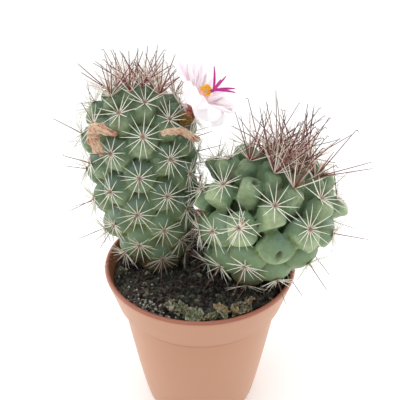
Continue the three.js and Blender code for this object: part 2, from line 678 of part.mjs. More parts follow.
// One petal: a curved blade, split alike on both faces, that rises from the cup and rolls outwards
function petal({ turn, rise, lift, length = 1, width = 1, twist = 0 }) {
  const { petalLength, petalWidth, petalThickness, cupRadius, rootDepth, dish } = FLOWER;
  const [along, across] = [5, 2];
  const step = (petalLength * length) / along;
  let r = cupRadius - 0.2;
  let z = -rootDepth;
  const rows = [];
  for (let i = 0; i <= along; i += 1) {
    const t = i / along;
    const angle = degrees(mix(rise, lift, t ** 0.6));
    const blunt = i === along ? 0.36 : 1;
    const half = ((width * petalWidth) / 2) * blunt
      * (0.36 + 0.7 * Math.sin(Math.PI * (t * 0.8 + 0.06)) ** 1.1);
    const outwards = vec(Math.cos(angle), 0, Math.sin(angle));
    const normal = vec(-Math.sin(angle), 0, Math.cos(angle)).applyAxisAngle(outwards, degrees(twist * t));
    const aside = vec(0, 1, 0).applyAxisAngle(outwards, degrees(twist * t));
    for (let j = -across / 2; j <= across / 2; j += 1) {
      const edge = j / (across / 2);
      const centre = vec(r, 0, z).addScaledVector(aside, half * edge)
        .addScaledVector(normal, dish * half * edge * edge);
      rows.push([centre.clone().addScaledVector(normal, petalThickness / 2),
        centre.clone().addScaledVector(normal, -petalThickness / 2)]);
    }
    r += step * Math.cos(angle);
    z += step * Math.sin(angle);
  }
  const spin = degrees(turn);
  const points = rows.flat().map((point) => inFlower(point.x * Math.cos(spin) - point.y * Math.sin(spin),
    point.x * Math.sin(spin) + point.y * Math.cos(spin), point.z));
  const triangles = [];
  const wide = across + 1;
  const id = (i, j, side) => (i * wide + j) * 2 + side;
  for (let i = 0; i < along; i += 1) {
    for (let j = 0; j < across; j += 1) {
      triangles.push([id(i, j, 0), id(i + 1, j, 0), id(i + 1, j + 1, 0)],
        [id(i, j, 0), id(i + 1, j + 1, 0), id(i, j + 1, 0)],
        [id(i, j, 1), id(i + 1, j + 1, 1), id(i + 1, j, 1)],
        [id(i, j, 1), id(i, j + 1, 1), id(i + 1, j + 1, 1)]);
    }
    for (const [j, flip] of [[0, true], [across, false]]) {
      const quad = [id(i, j, 0), id(i + 1, j, 0), id(i + 1, j, 1), id(i, j, 1)];
      if (flip) quad.reverse();
      triangles.push([quad[0], quad[1], quad[2]], [quad[0], quad[2], quad[3]]);
    }
  }
  for (let j = 0; j < across; j += 1) {
    for (const [i, flip] of [[0, false], [along, true]]) {
      const quad = [id(i, j, 0), id(i, j + 1, 0), id(i, j + 1, 1), id(i, j, 1)];
      if (flip) quad.reverse();
      triangles.push([quad[0], quad[1], quad[2]], [quad[0], quad[2], quad[3]]);
    }
  }
  return solidFrom(geometryFrom(points, triangles));
}

const nearestPit = (pits, target) => pits.reduce((best, pit) => (pit.point.distanceTo(vec(...target))
  < best.point.distanceTo(vec(...target)) ? pit : best));

// A growth's path starts a little inside the stem, leaves its axil square to the skin and follows its points
const SOCKET_DEPTH = 1.2;

function growthPath(pits, axil, path) {
  const { point, normal } = nearestPit(pits, axil);
  return [point.clone().addScaledVector(normal, -SOCKET_DEPTH), point.clone().addScaledVector(normal, 1.4),
    ...path.map((p) => vec(...p))];
}

// The plain hole that a growth stands in: its own path and radii, wider by the gap
function socketFor(path, radii, sides) {
  const [root, next, third] = path;
  const inward = root.clone().sub(next).normalize();
  const bottom = root.clone().addScaledVector(inward, GAP);
  const mouth = next.clone().lerp(third, 0.4);
  const wider = [radii[0] + GAP, radii[1] + GAP, radii[1] + 1.5 * GAP];
  return solidFrom(limb([bottom, next, mouth], wider, sides));
}

function makeGrowth(pits, shape) {
  const path = growthPath(pits, shape.axil, shape.path);
  return {
    solid: solidFrom(limb(path, shape.radii, shape.sides)),
    socket: socketFor(path, shape.radii, shape.sides),
  };
}

// The flower's stalk, cup and petals
function makePetals(pits) {
  const { cupDepth, cupRadius, cupWall, stalkRadius } = FLOWER;
  const path = [...growthPath(pits, FLOWER_AXIL, [STALK_BEND]), inFlower(0, 0, -cupDepth - 2.2),
    inFlower(0, 0, -cupDepth - 0.8), inFlower(0, 0, -cupDepth / 2), inFlower(0, 0, 0)];
  const radii = [stalkRadius - 0.3, stalkRadius - 0.2, stalkRadius, stalkRadius + 0.2, stalkRadius + 0.6,
    cupRadius + 0.5 * cupWall, cupRadius + cupWall];
  const sides = 12;
  const parts = [solidFrom(limb(path, radii, sides)), ...PETALS.map(petal)];
  const bore = STAMENS.outer + GAP;
  const hollow = limb([inFlower(0, 0, -cupDepth), inFlower(0, 0, -cupDepth / 2), inFlower(0, 0, 0.02),
    inFlower(0, 0, 1.4)], [bore, bore + 0.15, cupRadius, cupRadius + 0.3], sides);
  return {
    solid: wasm.Manifold.union(parts).subtract(solidFrom(hollow)),
    socket: socketFor(path, radii, sides),
  };
}

// Filaments that rise from one ring round the style, with their anthers on a dome
function makeStamens() {
  const bottom = -FLOWER.cupDepth + GAP;
  const { inner, outer, ringHeight, filament, anther, count } = STAMENS;
  const ringTop = bottom + ringHeight;
  const ring = turned([[inner, bottom], [outer, bottom], [outer, ringTop], [inner, ringTop],
    [inner, bottom]], 12);
  const parts = [solidFrom(ring.applyMatrix4(flowerPlace()))];
  const random = seededRandom(STAMENS.seed);
  const middle = (inner + outer) / 2;
  for (let i = 0; i < count; i += 1) {
    const turn = i * GOLDEN_TURN;
    const out = i / (count - 1);
    const spread = mix(...STAMENS.spread, out);
    const tip = inFlower(spread * Math.cos(turn), spread * Math.sin(turn),
      mix(...STAMENS.tops, out) + STAMENS.unevenness * (random() - 0.5));
    const foot = inFlower(middle * Math.cos(turn), middle * Math.sin(turn), ringTop - 0.5);
    const bead = new THREE.OctahedronGeometry(anther, 0).translate(tip.x, tip.y, tip.z);
    parts.push(solidFrom(limb([foot, tip], [filament, filament], 3)), solidFrom(bead));
  }
  return wasm.Manifold.union(parts);
}

// The style and its spreading lobes
function makePistil() {
  const bottom = -FLOWER.cupDepth + GAP;
  const { radius, length, lobeTurns, lobeLength, lobeSpread, lobeRadii } = PISTIL;
  const top = bottom + length;
  const parts = [solidFrom(limb([inFlower(0, 0, bottom), inFlower(0, 0, top)], [radius, radius], 8))];
  for (const turn of lobeTurns) {
    const along = (share, lean) => {
      const out = lobeLength * share * Math.sin(degrees(lean));
      return inFlower(out * Math.cos(degrees(turn)), out * Math.sin(degrees(turn)),
        top + lobeLength * share * Math.cos(degrees(lean)));
    };
    const path = [inFlower(0, 0, top - 0.5), along(0.5, lobeSpread[0]), along(1, lobeSpread[1])];
    parts.push(solidFrom(limb(path, lobeRadii, 4)));
  }
  return wasm.Manifold.union(parts);
}

// Growing it all: skins first, then what stands on them, then spines that keep clear of everything
const skins = new Map([[LEFT, skinMesh(LEFT)], [RIGHT, skinMesh(RIGHT)]]);
const { pits } = skins.get(LEFT);
const pot = makePot();
const soil = makeSoil();
const petals = makePetals(pits);
const stamens = makeStamens();
const pistil = makePistil();
const growths = {
  withered_flower_left: makeGrowth(pits, WITHERED_LEFT),
  withered_flower_right: makeGrowth(pits, WITHERED_RIGHT),
  old_bud: makeGrowth(pits, OLD_BUD),
};

const obstacles = new Obstacles();
for (const [stem, skin] of skins) {
  for (const triangle of skin.triangles) obstacles.add(triangle.map((id) => skin.points[id]), stem);
  for (const cell of skin.cells) {
    const top = cell.tip.clone().addScaledVector(cell.normal, SPINES.padRise);
    for (const edge of cell.after) obstacles.add([...edge.map((id) => skin.points[id]), top], stem);
  }
}
for (const solid of [pot, soil, petals.solid, stamens, pistil]) obstacles.addGeometry(geometryOf(solid));
for (const growth of Object.values(growths)) obstacles.addGeometry(geometryOf(growth.solid));
const random = seededRandom(SPINES.seed);
for (const [stem, skin] of skins) growSpines(stem, skin, obstacles, random);

function makeStem(stem) {
  const { points, triangles } = skins.get(stem);
  let solid = solidFrom(geometryFrom(points, triangles)).add(plugFor(stem, 0));
  if (stem === LEFT) {
    for (const { socket } of [petals, ...Object.values(growths)]) solid = solid.subtract(socket);
  }
  return solid;
}

const plant = new THREE.Group();

function addPiece(name, solid, color, roughness) {
  const material = new THREE.MeshStandardMaterial({ color, roughness, metalness: 0, flatShading: true });
  const mesh = new THREE.Mesh(geometryOf(solid), material);
  mesh.name = name;
  plant.add(mesh);
}

addPiece('pot', pot, 0xc4967c, 0.55);
addPiece('soil', soil, 0x3a2f26, 0.95);
addPiece('stem_left', makeStem(LEFT), 0x5d7a5c, 0.6);
addPiece('stem_right', makeStem(RIGHT), 0x6d8a63, 0.6);
addPiece('flower_petals', petals.solid, 0xf4e4ea, 0.5);
addPiece('flower_stamens', stamens, 0xe0a818, 0.7);
addPiece('flower_pistil', pistil, 0xb8307a, 0.5);
addPiece('withered_flower_left', growths.withered_flower_left.solid, 0xc08a6c, 0.85);
addPiece('withered_flower_right', growths.withered_flower_right.solid, 0xc09064, 0.85);
addPiece('old_bud', growths.old_bud.solid, 0x7a6440, 0.85);

export default plant;
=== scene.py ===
"""The looks of a potted Mammillaria fraileana: two spiny stems, an open flower, peat and a small round pot.

Everything is in metres, with +Z up and the origin at the centre of the pot's underside.
"""

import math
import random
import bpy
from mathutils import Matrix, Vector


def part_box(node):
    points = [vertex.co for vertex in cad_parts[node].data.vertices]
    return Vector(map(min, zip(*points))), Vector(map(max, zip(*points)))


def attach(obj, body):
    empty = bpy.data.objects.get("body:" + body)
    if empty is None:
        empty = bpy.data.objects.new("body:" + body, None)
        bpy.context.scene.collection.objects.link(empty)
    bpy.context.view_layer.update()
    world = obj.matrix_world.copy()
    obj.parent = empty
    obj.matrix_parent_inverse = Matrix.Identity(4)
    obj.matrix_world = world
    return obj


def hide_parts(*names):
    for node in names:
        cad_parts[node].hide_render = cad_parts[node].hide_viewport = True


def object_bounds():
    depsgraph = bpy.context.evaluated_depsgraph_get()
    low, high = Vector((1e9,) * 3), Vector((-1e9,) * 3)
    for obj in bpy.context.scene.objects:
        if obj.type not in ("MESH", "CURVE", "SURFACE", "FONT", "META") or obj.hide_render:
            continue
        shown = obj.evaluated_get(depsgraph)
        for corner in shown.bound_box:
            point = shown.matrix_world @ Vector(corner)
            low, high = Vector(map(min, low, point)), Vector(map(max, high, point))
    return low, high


bl_info = {
    "name": "Potted Mammillaria",
    "version": (1, 0, 0),
    "blender": (4, 5, 0),
    "location": "3D View > Sidebar > Mammillaria",
    "description": "Models the skin, spines, flower, soil and pot of a small cactus",
    "category": "Add Mesh",
}

from contextlib import contextmanager
from typing import NamedTuple

import bpy
import numpy as np
from bpy.props import FloatProperty, FloatVectorProperty, IntProperty, PointerProperty
from mathutils import Matrix, Vector, noise
from mathutils.bvhtree import BVHTree

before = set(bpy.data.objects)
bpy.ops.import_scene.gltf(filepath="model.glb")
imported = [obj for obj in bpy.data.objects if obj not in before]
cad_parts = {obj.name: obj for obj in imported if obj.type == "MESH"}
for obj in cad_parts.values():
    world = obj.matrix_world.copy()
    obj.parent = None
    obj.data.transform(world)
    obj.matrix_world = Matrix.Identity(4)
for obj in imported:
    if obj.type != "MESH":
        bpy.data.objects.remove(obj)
CAD_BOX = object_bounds()
POT_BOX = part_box("pot")
MM = 0.001


# How the stems grow

SOIL_Z = POT_BOX[1].z - 5.0 * MM


class Stem(NamedTuple):
    """One stem: the axis it grows along, its girth and its spiral of tubercles.

    Lengths are in metres, and turn, divergence and ascent in degrees. Tubercles are numbered from the tip
    down. A bald one has a pit instead of spines, shifted aside and upwards, and a double one has two stars.
    """

    node: str
    foot: tuple
    tip: tuple
    bow: tuple
    radius: float
    foot_share: float
    swell: float
    dome: float
    dome_power: float
    hand: int
    divergence: float
    turn: float
    start: float
    spacing: float
    young_share: float
    ripening: float
    relief: float
    groove: float
    fair: float
    ascent: tuple
    blunt: float
    bald: dict
    double: tuple
    young_spine: float
    crown: int
    tuft: tuple
    radial_share: float


LEFT = Stem(
    node="stem_left",
    foot=(-15.15 * MM, 6.09 * MM),
    tip=(-18.63 * MM, 8.25 * MM, 116.95 * MM),
    bow=(-2.73 * MM, -1.65 * MM),
    radius=17.81 * MM,
    foot_share=0.544,
    swell=0.498,
    dome=0.71,
    dome_power=2.12,
    hand=1,
    divergence=137.993,
    turn=323.28,
    start=0.873,
    spacing=9.83 * MM,
    young_share=0.381,
    ripening=25.45 * MM,
    relief=4.3 * MM,
    groove=0.5 * MM,
    fair=0.4,
    ascent=(4, 24),
    blunt=0.5,
    bald={},
    double=(),
    young_spine=11.5 * MM,
    crown=18,
    tuft=(1, 2, 3),
    radial_share=0.8,
)
RIGHT = Stem(
    node="stem_right",
    foot=(13.59 * MM, 6.53 * MM),
    tip=(24.28 * MM, -7.32 * MM, 98.23 * MM),
    bow=(1.14 * MM, -4.01 * MM),
    radius=21.98 * MM,
    foot_share=0.594,
    swell=0.684,
    dome=0.541,
    dome_power=2.523,
    hand=-1,
    divergence=137.36,
    turn=260.27,
    start=0.77,
    spacing=11.27 * MM,
    young_share=0.375,
    ripening=26.98 * MM,
    relief=7.6 * MM,
    groove=0.8 * MM,
    fair=1.0,
    ascent=(4, 50),
    blunt=1.0,
    bald={16: (1.3 * MM, 2.8 * MM), 34: (0, 0)},
    double=(29,),
    young_spine=17.0 * MM,
    crown=15,
    tuft=(4, 5, 6),
    radial_share=0.84,
)

# The plane where the two stems press together
PARTING_POINT = Vector((0.85 * MM, 1.9 * MM, 0))
PARTING_NORMAL = Vector((0.975, -0.222, 0))
PARTING_GAP = 0.5 * MM
TIP_MARGIN = 1.1 * MM

# How far inside the pot's rim the skin stays, and how far above the rim it may lean out
RIM_ROOM = 1.9 * MM
RIM_CLEARANCE = 0.8 * MM

# The least height of a tubercle's tip over the soil, how deep a tubercle is rooted in the stem's core, and
# how much slimmer than the stem's foot the plug in the soil is
LOWEST_TIP = 2.2 * MM
TUBERCLE_ROOT = 1.2 * MM
PLUG_INSET = 1.6 * MM


class Areole(NamedTuple):
    """The tip of one tubercle, where its spines stand. Up and side are square to the tubercle's axis."""

    index: int
    tip: Vector
    axis: Vector
    up: Vector
    side: Vector
    size: float
    age: float
    depth: float
    ascent: float


def mix(a, b, share):
    return a + (b - a) * share


def clamp(value):
    return min(1.0, max(0.0, value))


def square_to(axis, guide):
    """Two directions square to an axis, the first as near as possible to a guide"""
    first = (guide - axis * guide.dot(axis)).normalized()
    return first, axis.cross(first)


def axis_at(stem, share):
    """The point on a stem's axis at a share of its way up, and the direction there"""
    foot = Vector((*stem.foot, SOIL_Z))
    tip = Vector(stem.tip)
    pull = (foot + tip) / 2 + Vector((*stem.bow, 0))
    point = foot * (1 - share) ** 2 + pull * 2 * share * (1 - share) + tip * share**2
    along = (pull - foot) * 2 * (1 - share) + (tip - pull) * 2 * share
    return point, along.normalized()


def girth_at(stem, share):
    """The radius of a stem over its tubercles' tips"""
    rise = math.sin(clamp(share / stem.swell) * math.pi / 2)
    low = mix(stem.foot_share, 1, rise)
    high = clamp((share - stem.dome) / (1 - stem.dome)) ** stem.dome_power
    return stem.radius * low * (1 - high) ** (1 / stem.dome_power)


def keep_aside(stem, point, margin):
    """Moves a point to its own stem's side of the parting plane and inside the pot's rim"""
    normal = PARTING_NORMAL if stem is RIGHT else -PARTING_NORMAL
    reach = normal.dot(point - PARTING_POINT)
    if reach < margin:
        point = point + normal * (margin - reach)
    room = POT_BOX[1].x - RIM_ROOM - margin + max(0, point.z - POT_BOX[1].z - RIM_CLEARANCE)
    out = math.hypot(point.x, point.y)
    if out > room:
        point = Vector((point.x * room / out, point.y * room / out, point.z))
    return point


GROWTH_STEPS = 240
GROWTH_POWER = 1.5
BLENDED = ("point", "along", "radius", "slope", "age")


def growth(stem):
    """Rows down a stem from its tip: the axis, girth and slope there, and its tubercles' spacing and age"""
    rows = []
    for i in range(GROWTH_STEPS):
        share = 1 - (i / (GROWTH_STEPS - 1)) ** GROWTH_POWER
        point, along = axis_at(stem, share)
        row = {"point": point, "along": along, "radius": girth_at(stem, share), "path": 0, "passed": 0}
        step = 0
        down = 0
        if rows:
            last = rows[-1]
            down = last["down"] + (point - last["point"]).length
            step = math.hypot(down - last["down"], row["radius"] - last["radius"])
            row["path"] = last["path"] + step
        age = clamp(row["path"] / stem.ripening)
        row["down"] = down
        row["age"] = mix(stem.young_share, 1, age * age * (3 - 2 * age))
        row["spacing"] = stem.spacing * row["age"]
        row["density"] = 2 * math.pi * row["radius"] / row["spacing"] ** 2
        if rows:
            row["passed"] = last["passed"] + (row["density"] + last["density"]) / 2 * step
        rows.append(row)
    for i, row in enumerate(rows):
        before = rows[max(i - 1, 0)]
        after = rows[min(i + 1, GROWTH_STEPS - 1)]
        row["slope"] = math.atan((after["radius"] - before["radius"]) / (after["down"] - before["down"]))
    return rows


def row_at(rows, share):
    """The row of a stem's growth at a share of its way up"""
    return rows[min(GROWTH_STEPS - 1, round((1 - share) ** (1 / GROWTH_POWER) * (GROWTH_STEPS - 1)))]


def spiral(stem, rows):
    """The areoles of a stem in the order of their age, from the tip down"""
    areoles = []
    passed = [row["passed"] for row in rows]
    index = 0
    while index + stem.start < passed[-1]:
        i = max(1, int(np.searchsorted(passed, index + stem.start)))
        share = (index + stem.start - passed[i - 1]) / (passed[i] - passed[i - 1])
        at = {key: mix(rows[i - 1][key], rows[i][key], share) for key in BLENDED}
        along = at["along"].normalized()
        across, beside = square_to(along, Vector((1, 0, 0)))
        turn = math.radians(stem.turn + stem.hand * stem.divergence * index)
        out = across * math.cos(turn) + beside * math.sin(turn)
        normal = out * math.cos(at["slope"]) + along * math.sin(at["slope"])
        up = along * math.cos(at["slope"]) - out * math.sin(at["slope"])
        tip = at["point"] + out * at["radius"]
        if tip.z > SOIL_Z + LOWEST_TIP:
            tip = keep_aside(stem, tip, TIP_MARGIN)
            steep = clamp((normal.z + 0.12) / 0.5) * (1 - 0.7 * clamp((normal.z - 0.7) / 0.3))
            ascent = math.radians(mix(*stem.ascent, steep))
            axis = normal * math.cos(ascent) + up * math.sin(ascent)
            over = up * math.cos(ascent) - normal * math.sin(ascent)
            depth = (stem.relief * at["age"] + TUBERCLE_ROOT) / math.cos(ascent)
            size = stem.spacing * at["age"]
            areoles.append(Areole(index, tip, axis, over, over.cross(axis), size, at["age"], depth, ascent))
        index += 1
    return areoles


# Making and shaping pieces


def pick(*objects):
    """Selects these objects and no others, with the first one active"""
    bpy.ops.object.select_all(action="DESELECT")
    for obj in objects:
        obj.select_set(True)
    if objects:
        bpy.context.view_layer.objects.active = objects[0]


@contextmanager
def editing(obj):
    """Edit mode on one object, with all of it selected"""
    pick(obj)
    bpy.ops.object.mode_set(mode="EDIT")
    bpy.ops.mesh.select_all(action="SELECT")
    try:
        yield
    finally:
        bpy.ops.object.mode_set(mode="OBJECT")


def named(name):
    """Names the object that an operator has just made, and puts its place into its mesh"""
    obj = bpy.context.object
    obj.name = name
    obj.data.name = name
    bpy.ops.object.transform_apply(location=True, rotation=True, scale=True)
    return obj


def finish_with(obj, kind, **settings):
    """Adds one modifier and applies it"""
    pick(obj)
    modifier = obj.modifiers.new(kind.lower(), kind)
    for key, value in settings.items():
        setattr(modifier, key, value)
    bpy.ops.object.modifier_apply(modifier=modifier.name)
    return obj


def face_out(obj):
    """Merges doubled points and turns every face outwards"""
    with editing(obj):
        bpy.ops.mesh.remove_doubles(threshold=0.001 * MM)
        bpy.ops.mesh.normals_make_consistent(inside=False)
    return obj


def joined(name, pieces):
    pick(*pieces)
    if len(pieces) > 1:
        bpy.ops.object.join()
    obj = bpy.context.object
    obj.name = name
    obj.data.name = name
    return obj


def smooth_shaded(obj, angle=180):
    pick(obj)
    bpy.ops.object.shade_smooth_by_angle(angle=math.radians(angle))
    return obj


def turned(name, profile, sides):
    """A closed body of revolution: a disc, extruded ring by ring through a list of (radius, height)"""
    radius, height = profile[0]
    pick()
    bpy.ops.mesh.primitive_circle_add(vertices=sides, radius=radius, fill_type="NGON",
                                      location=(0, 0, height))
    obj = named(name)
    with editing(obj):
        for next_radius, next_height in profile[1:]:
            rise = {"value": (0, 0, next_height - height)}
            bpy.ops.mesh.extrude_region_move(TRANSFORM_OT_translate=rise)
            share = next_radius / radius
            bpy.ops.transform.resize(value=(share, share, 1), center_override=(0, 0, next_height))
            radius, height = next_radius, next_height
    return face_out(obj)


def tube(name, points, radii, sides=6, fineness=3):
    """A closed limb on a smooth curve through its points, with a radius at each"""
    pick()
    bpy.ops.curve.primitive_bezier_curve_add()
    curve = bpy.context.object
    curve.name = name
    data = curve.data
    data.bevel_depth = 1
    data.bevel_resolution = (sides - 4) // 2
    data.use_fill_caps = True
    data.resolution_u = fineness
    spline = data.splines[0]
    spline.bezier_points.add(len(points) - len(spline.bezier_points))
    for knot, point, radius in zip(spline.bezier_points, points, radii):
        knot.co = point
        knot.handle_left_type = "AUTO"
        knot.handle_right_type = "AUTO"
        knot.radius = radius
    bpy.ops.object.convert(target="MESH")
    return face_out(named(name))


def points_of(obj):
    places = np.empty(len(obj.data.vertices) * 3)
    obj.data.vertices.foreach_get("co", places)
    return places.reshape(-1, 3)


def normals_of(obj):
    normals = np.empty(len(obj.data.vertices) * 3)
    obj.data.vertex_normals.foreach_get("vector", normals)
    return normals.reshape(-1, 3)


def move_points(obj, places):
    obj.data.vertices.foreach_set("co", places.ravel())
    obj.data.update()
    return obj


def mark(obj, name, values):
    """Keeps one number for each point of a mesh, which its material reads"""
    old = obj.data.attributes.get(name)
    if old:
        obj.data.attributes.remove(old)
    attribute = obj.data.attributes.new(name, "FLOAT", "POINT")
    attribute.data.foreach_set("value", np.asarray(values, np.float32))
    return obj


def marks_of(obj, name):
    values = np.empty(len(obj.data.vertices), np.float32)
    obj.data.attributes[name].data.foreach_get("value", values)
    return values


def mark_height(obj):
    """Marks a master with the share of its height at each point"""
    heights = points_of(obj)[:, 2]
    return mark(obj, "along", (heights - heights.min()) / np.ptp(heights))


def discard(*objects):
    for obj in objects:
        bpy.data.objects.remove(obj)


def stamped(name, masters, copies):
    """One mesh of many copies. A copy is (the number of its master, its matrix, its own marks by name)"""
    shapes = []
    for master in masters:
        faces = [tuple(face.vertices) for face in master.data.polygons]
        shapes.append((points_of(master), faces, marks_of(master, "along")))
    places = []
    faces = []
    along = []
    marks = {key: [] for key in copies[0][2]}
    count = 0
    for kind, matrix, own in copies:
        points, polygons, heights = shapes[kind]
        turn = np.array(matrix)
        places.append(points @ turn[:3, :3].T + turn[:3, 3])
        faces += [tuple(i + count for i in face) for face in polygons]
        along.append(heights)
        for key, value in own.items():
            marks[key].append(np.full(len(points), value))
        count += len(points)
    mesh = bpy.data.meshes.new(name)
    mesh.from_pydata(np.concatenate(places), [], faces)
    obj = bpy.data.objects.new(name, mesh)
    bpy.context.scene.collection.objects.link(obj)
    mark(obj, "along", np.concatenate(along))
    for key, values in marks.items():
        mark(obj, key, np.concatenate(values))
    return smooth_shaded(obj)


def frame_matrix(x, y, z, place):
    """A matrix from its three columns and its place"""
    return Matrix((*zip(x, y, z, place), (0, 0, 0, 1)))


def rippled(obj, amount, length, seed):
    """Moves the points of a mesh along their normals by soft noise of a given wave length"""
    places = points_of(obj)
    normals = normals_of(obj)
    offset = Vector((seed * 7.3, seed * 3.1, seed * 5.7))
    waves = [noise.noise(Vector(place) / length + offset) for place in places]
    return move_points(obj, places + normals * (amount * np.array(waves))[:, None])


def declare(obj, slot, *nodes):
    """Fixes a finished piece to the frame, and hides the nodes that it stands for. Its slot is not used."""
    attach(obj, "root")
    if nodes:
        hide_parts(*nodes)
    return obj


# Materials


def paint(red, green, blue):
    """A colour as light, from its value on a screen"""
    def light(value):
        share = value / 255
        return share / 12.92 if share <= 0.04045 else ((share + 0.055) / 1.055) ** 2.4

    return (light(red), light(green), light(blue), 1.0)


class Wire:
    """The output of a node. Arithmetic on it adds Math nodes."""

    def __init__(self, finish, socket):
        self.finish = finish
        self.socket = socket

    def __add__(self, other):
        return self.finish.maths("ADD", self, other)

    __radd__ = __add__

    def __sub__(self, other):
        return self.finish.maths("SUBTRACT", self, other)

    def __rsub__(self, other):
        return self.finish.maths("SUBTRACT", other, self)

    def __mul__(self, other):
        return self.finish.maths("MULTIPLY", self, other)

    __rmul__ = __mul__


class Finish:
    """A material on one Principled shader. Its keywords are the values that are the same all over."""

    def __init__(self, name, **values):
        self.material = bpy.data.materials.new(name)
        self.material.use_nodes = True
        self.tree = self.material.node_tree
        self.shader = self.tree.nodes["Principled BSDF"]
        for key, value in values.items():
            self.shader.inputs[key.replace("_", " ")].default_value = value

    def node(self, kind, settings=None, outlet=0, **values):
        """Adds a node: its settings first, then a value or a wire for each named or numbered input"""
        node = self.tree.nodes.new(kind)
        for key, value in (settings or {}).items():
            setattr(node, key, value)
        for key, value in values.items():
            place = int(key[1:]) if key[1:].isdigit() else key.replace("_", " ")
            if isinstance(value, Wire):
                self.tree.links.new(value.socket, node.inputs[place])
            else:
                node.inputs[place].default_value = value
        return Wire(self, node.outputs[outlet])

    def maths(self, operation, *values):
        inputs = {f"i{i}": value for i, value in enumerate(values)}
        return self.node("ShaderNodeMath", {"operation": operation}, **inputs)

    def place(self):
        return self.node("ShaderNodeTexCoord", outlet="Object")

    def stretched(self, x, y, z):
        """Object coordinates, scaled along each axis"""
        return self.node("ShaderNodeMapping", Vector=self.place(), Scale=(x, y, z))

    def noise(self, size, detail=3.0, roughness=0.55, where=None, distortion=0.0):
        """Soft noise from 0 to 1 with lumps of a given size"""
        return self.node("ShaderNodeTexNoise", Vector=where or self.place(), Scale=1 / size, Detail=detail,
                         Roughness=roughness, Distortion=distortion)

    def cells(self, size):
        """The distance to the nearest of points spread at random"""
        return self.node("ShaderNodeTexVoronoi", outlet="Distance", Vector=self.place(), Scale=1 / size)

    def marked(self, name):
        return self.node("ShaderNodeAttribute", {"attribute_name": name}, outlet="Fac")

    def height(self):
        """The Z of Object coordinates"""
        return self.node("ShaderNodeSeparateXYZ", outlet="Z", Vector=self.place())

    def step(self, value, low, high):
        """0 below one value and 1 above another, with a smooth way between"""
        settings = {"interpolation_type": "SMOOTHSTEP"}
        return self.node("ShaderNodeMapRange", settings, Value=value, From_Min=low, From_Max=high)

    def blend(self, share, first, second):
        """Mixes two colours"""
        return self.node("ShaderNodeMix", {"data_type": "RGBA"}, outlet=2, i0=share, i6=first, i7=second)

    def layered(self, colours, *layers):
        """Paints layers over a first colour. A layer is its share and its colour."""
        for share, over in layers:
            colours = self.blend(share, colours, over)
        return colours

    def bump(self, height, distance, strength=1.0):
        return self.node("ShaderNodeBump", Height=height, Distance=distance, Strength=strength)

    def feed(self, **wires):
        for key, wire in wires.items():
            self.tree.links.new(wire.socket, self.shader.inputs[key.replace("_", " ")])
        return self

    def cover(self, *objects):
        for obj in objects:
            obj.data.materials.clear()
            obj.data.materials.append(self.material)


def length(name, description, default):
    return FloatProperty(name=name, description=description, default=default, min=0, unit="LENGTH",
                         precision=5)


def colour(name, description, red, green, blue):
    return FloatVectorProperty(name=name, description=description, default=paint(red, green, blue), size=4,
                               min=0, max=1, subtype="COLOR")


def count(name, description, default):
    return IntProperty(name=name, description=description, default=default, min=1)


class PotSettings(bpy.types.PropertyGroup):
    """The sizes and colours of the pot"""

    rim_radius: length("Rim radius", "Outside radius at the rim", POT_BOX[1].x)
    height: length("Height", "From the underside to the rim", POT_BOX[1].z)
    collar_height: length("Collar height", "Height of the wider collar under the rim", 12.0 * MM)
    collar_foot: length("Collar foot radius", "Outside radius at the collar's lower edge", 29.8 * MM)
    body_top: length("Body top radius", "Outside radius of the body under the collar", 28.0 * MM)
    base_radius: length("Base radius", "Outside radius at the base", 22.2 * MM)
    wall: length("Wall", "Thickness of the wall", 1.2 * MM)
    body_colour: colour("Body colour", "The plastic's colour", 193, 138, 103)
    rim_colour: colour("Rim colour", "The plastic's colour where it is thick, at the rim", 166, 100, 80)


class SoilSettings(bpy.types.PropertyGroup):
    """The sizes and colours of the soil and what lies on it"""

    swell: length("Swell", "How far the ground rolls up and down", 0.7 * MM)
    crumbs: count("Crumbs", "How many crumbs of peat lie on the ground", 2400)
    crumb_size: length("Crumb size", "Radius of a large crumb", 1.35 * MM)
    stones: count("Pumice grains", "How many pale grains lie on the ground", 300)
    peat_colour: colour("Peat colour", "Dark moist peat", 124, 112, 104)
    pale_colour: colour("Pale colour", "Dry crumbs and scraps", 178, 172, 148)


class SkinSettings(bpy.types.PropertyGroup):
    """The grain and colours of the stems' skin"""

    grain: length("Grain", "Edge length of the skin's finest faces", 0.44 * MM)
    dark_colour: colour("Dark colour", "Above each areole and in the young skin", 76, 99, 70)
    # The bloom colour on the upper faces is partly real bloom, partly painted shade from the tubercle above
    bloom_and_shade_colour: colour("Bloom colour", "Blue-green bloom on the upper faces", 104, 128, 118)
    pale_colour: colour("Pale colour", "Below each areole", 178, 188, 144)
    valley_colour: colour("Valley colour", "In the valleys between tubercles", 122, 134, 66)
    cork_colour: colour("Cork colour", "Old corky skin near the ground", 128, 104, 74)


class SpineSettings(bpy.types.PropertyGroup):
    """The number, sizes and colours of the spines"""

    radials: count("Radial spines", "Straight spines around each areole", 13)
    centrals: count("Central spines", "Hooked spines in the middle of each areole", 1)
    radial_length: length("Radial length", "Length of a radial spine", 7.8 * MM)
    central_length: length("Central length", "Length of a central spine", 9.2 * MM)
    radial_radius: length("Radial thickness", "Radius of a radial spine at its base", 0.145 * MM)
    central_radius: length("Central thickness", "Radius of a central spine at its base", 0.125 * MM)
    pale_colour: colour("Spine colour", "The middle of a radial spine", 252, 249, 238)
    base_colour: colour("Base colour", "The base of a radial spine", 176, 152, 136)
    hook_colour: colour("Hook colour", "A central spine", 118, 88, 78)
    young_colour: colour("Young colour", "Young spines at the crown", 126, 42, 52)
    wool_colour: colour("Wool colour", "The felt of an areole", 164, 146, 132)


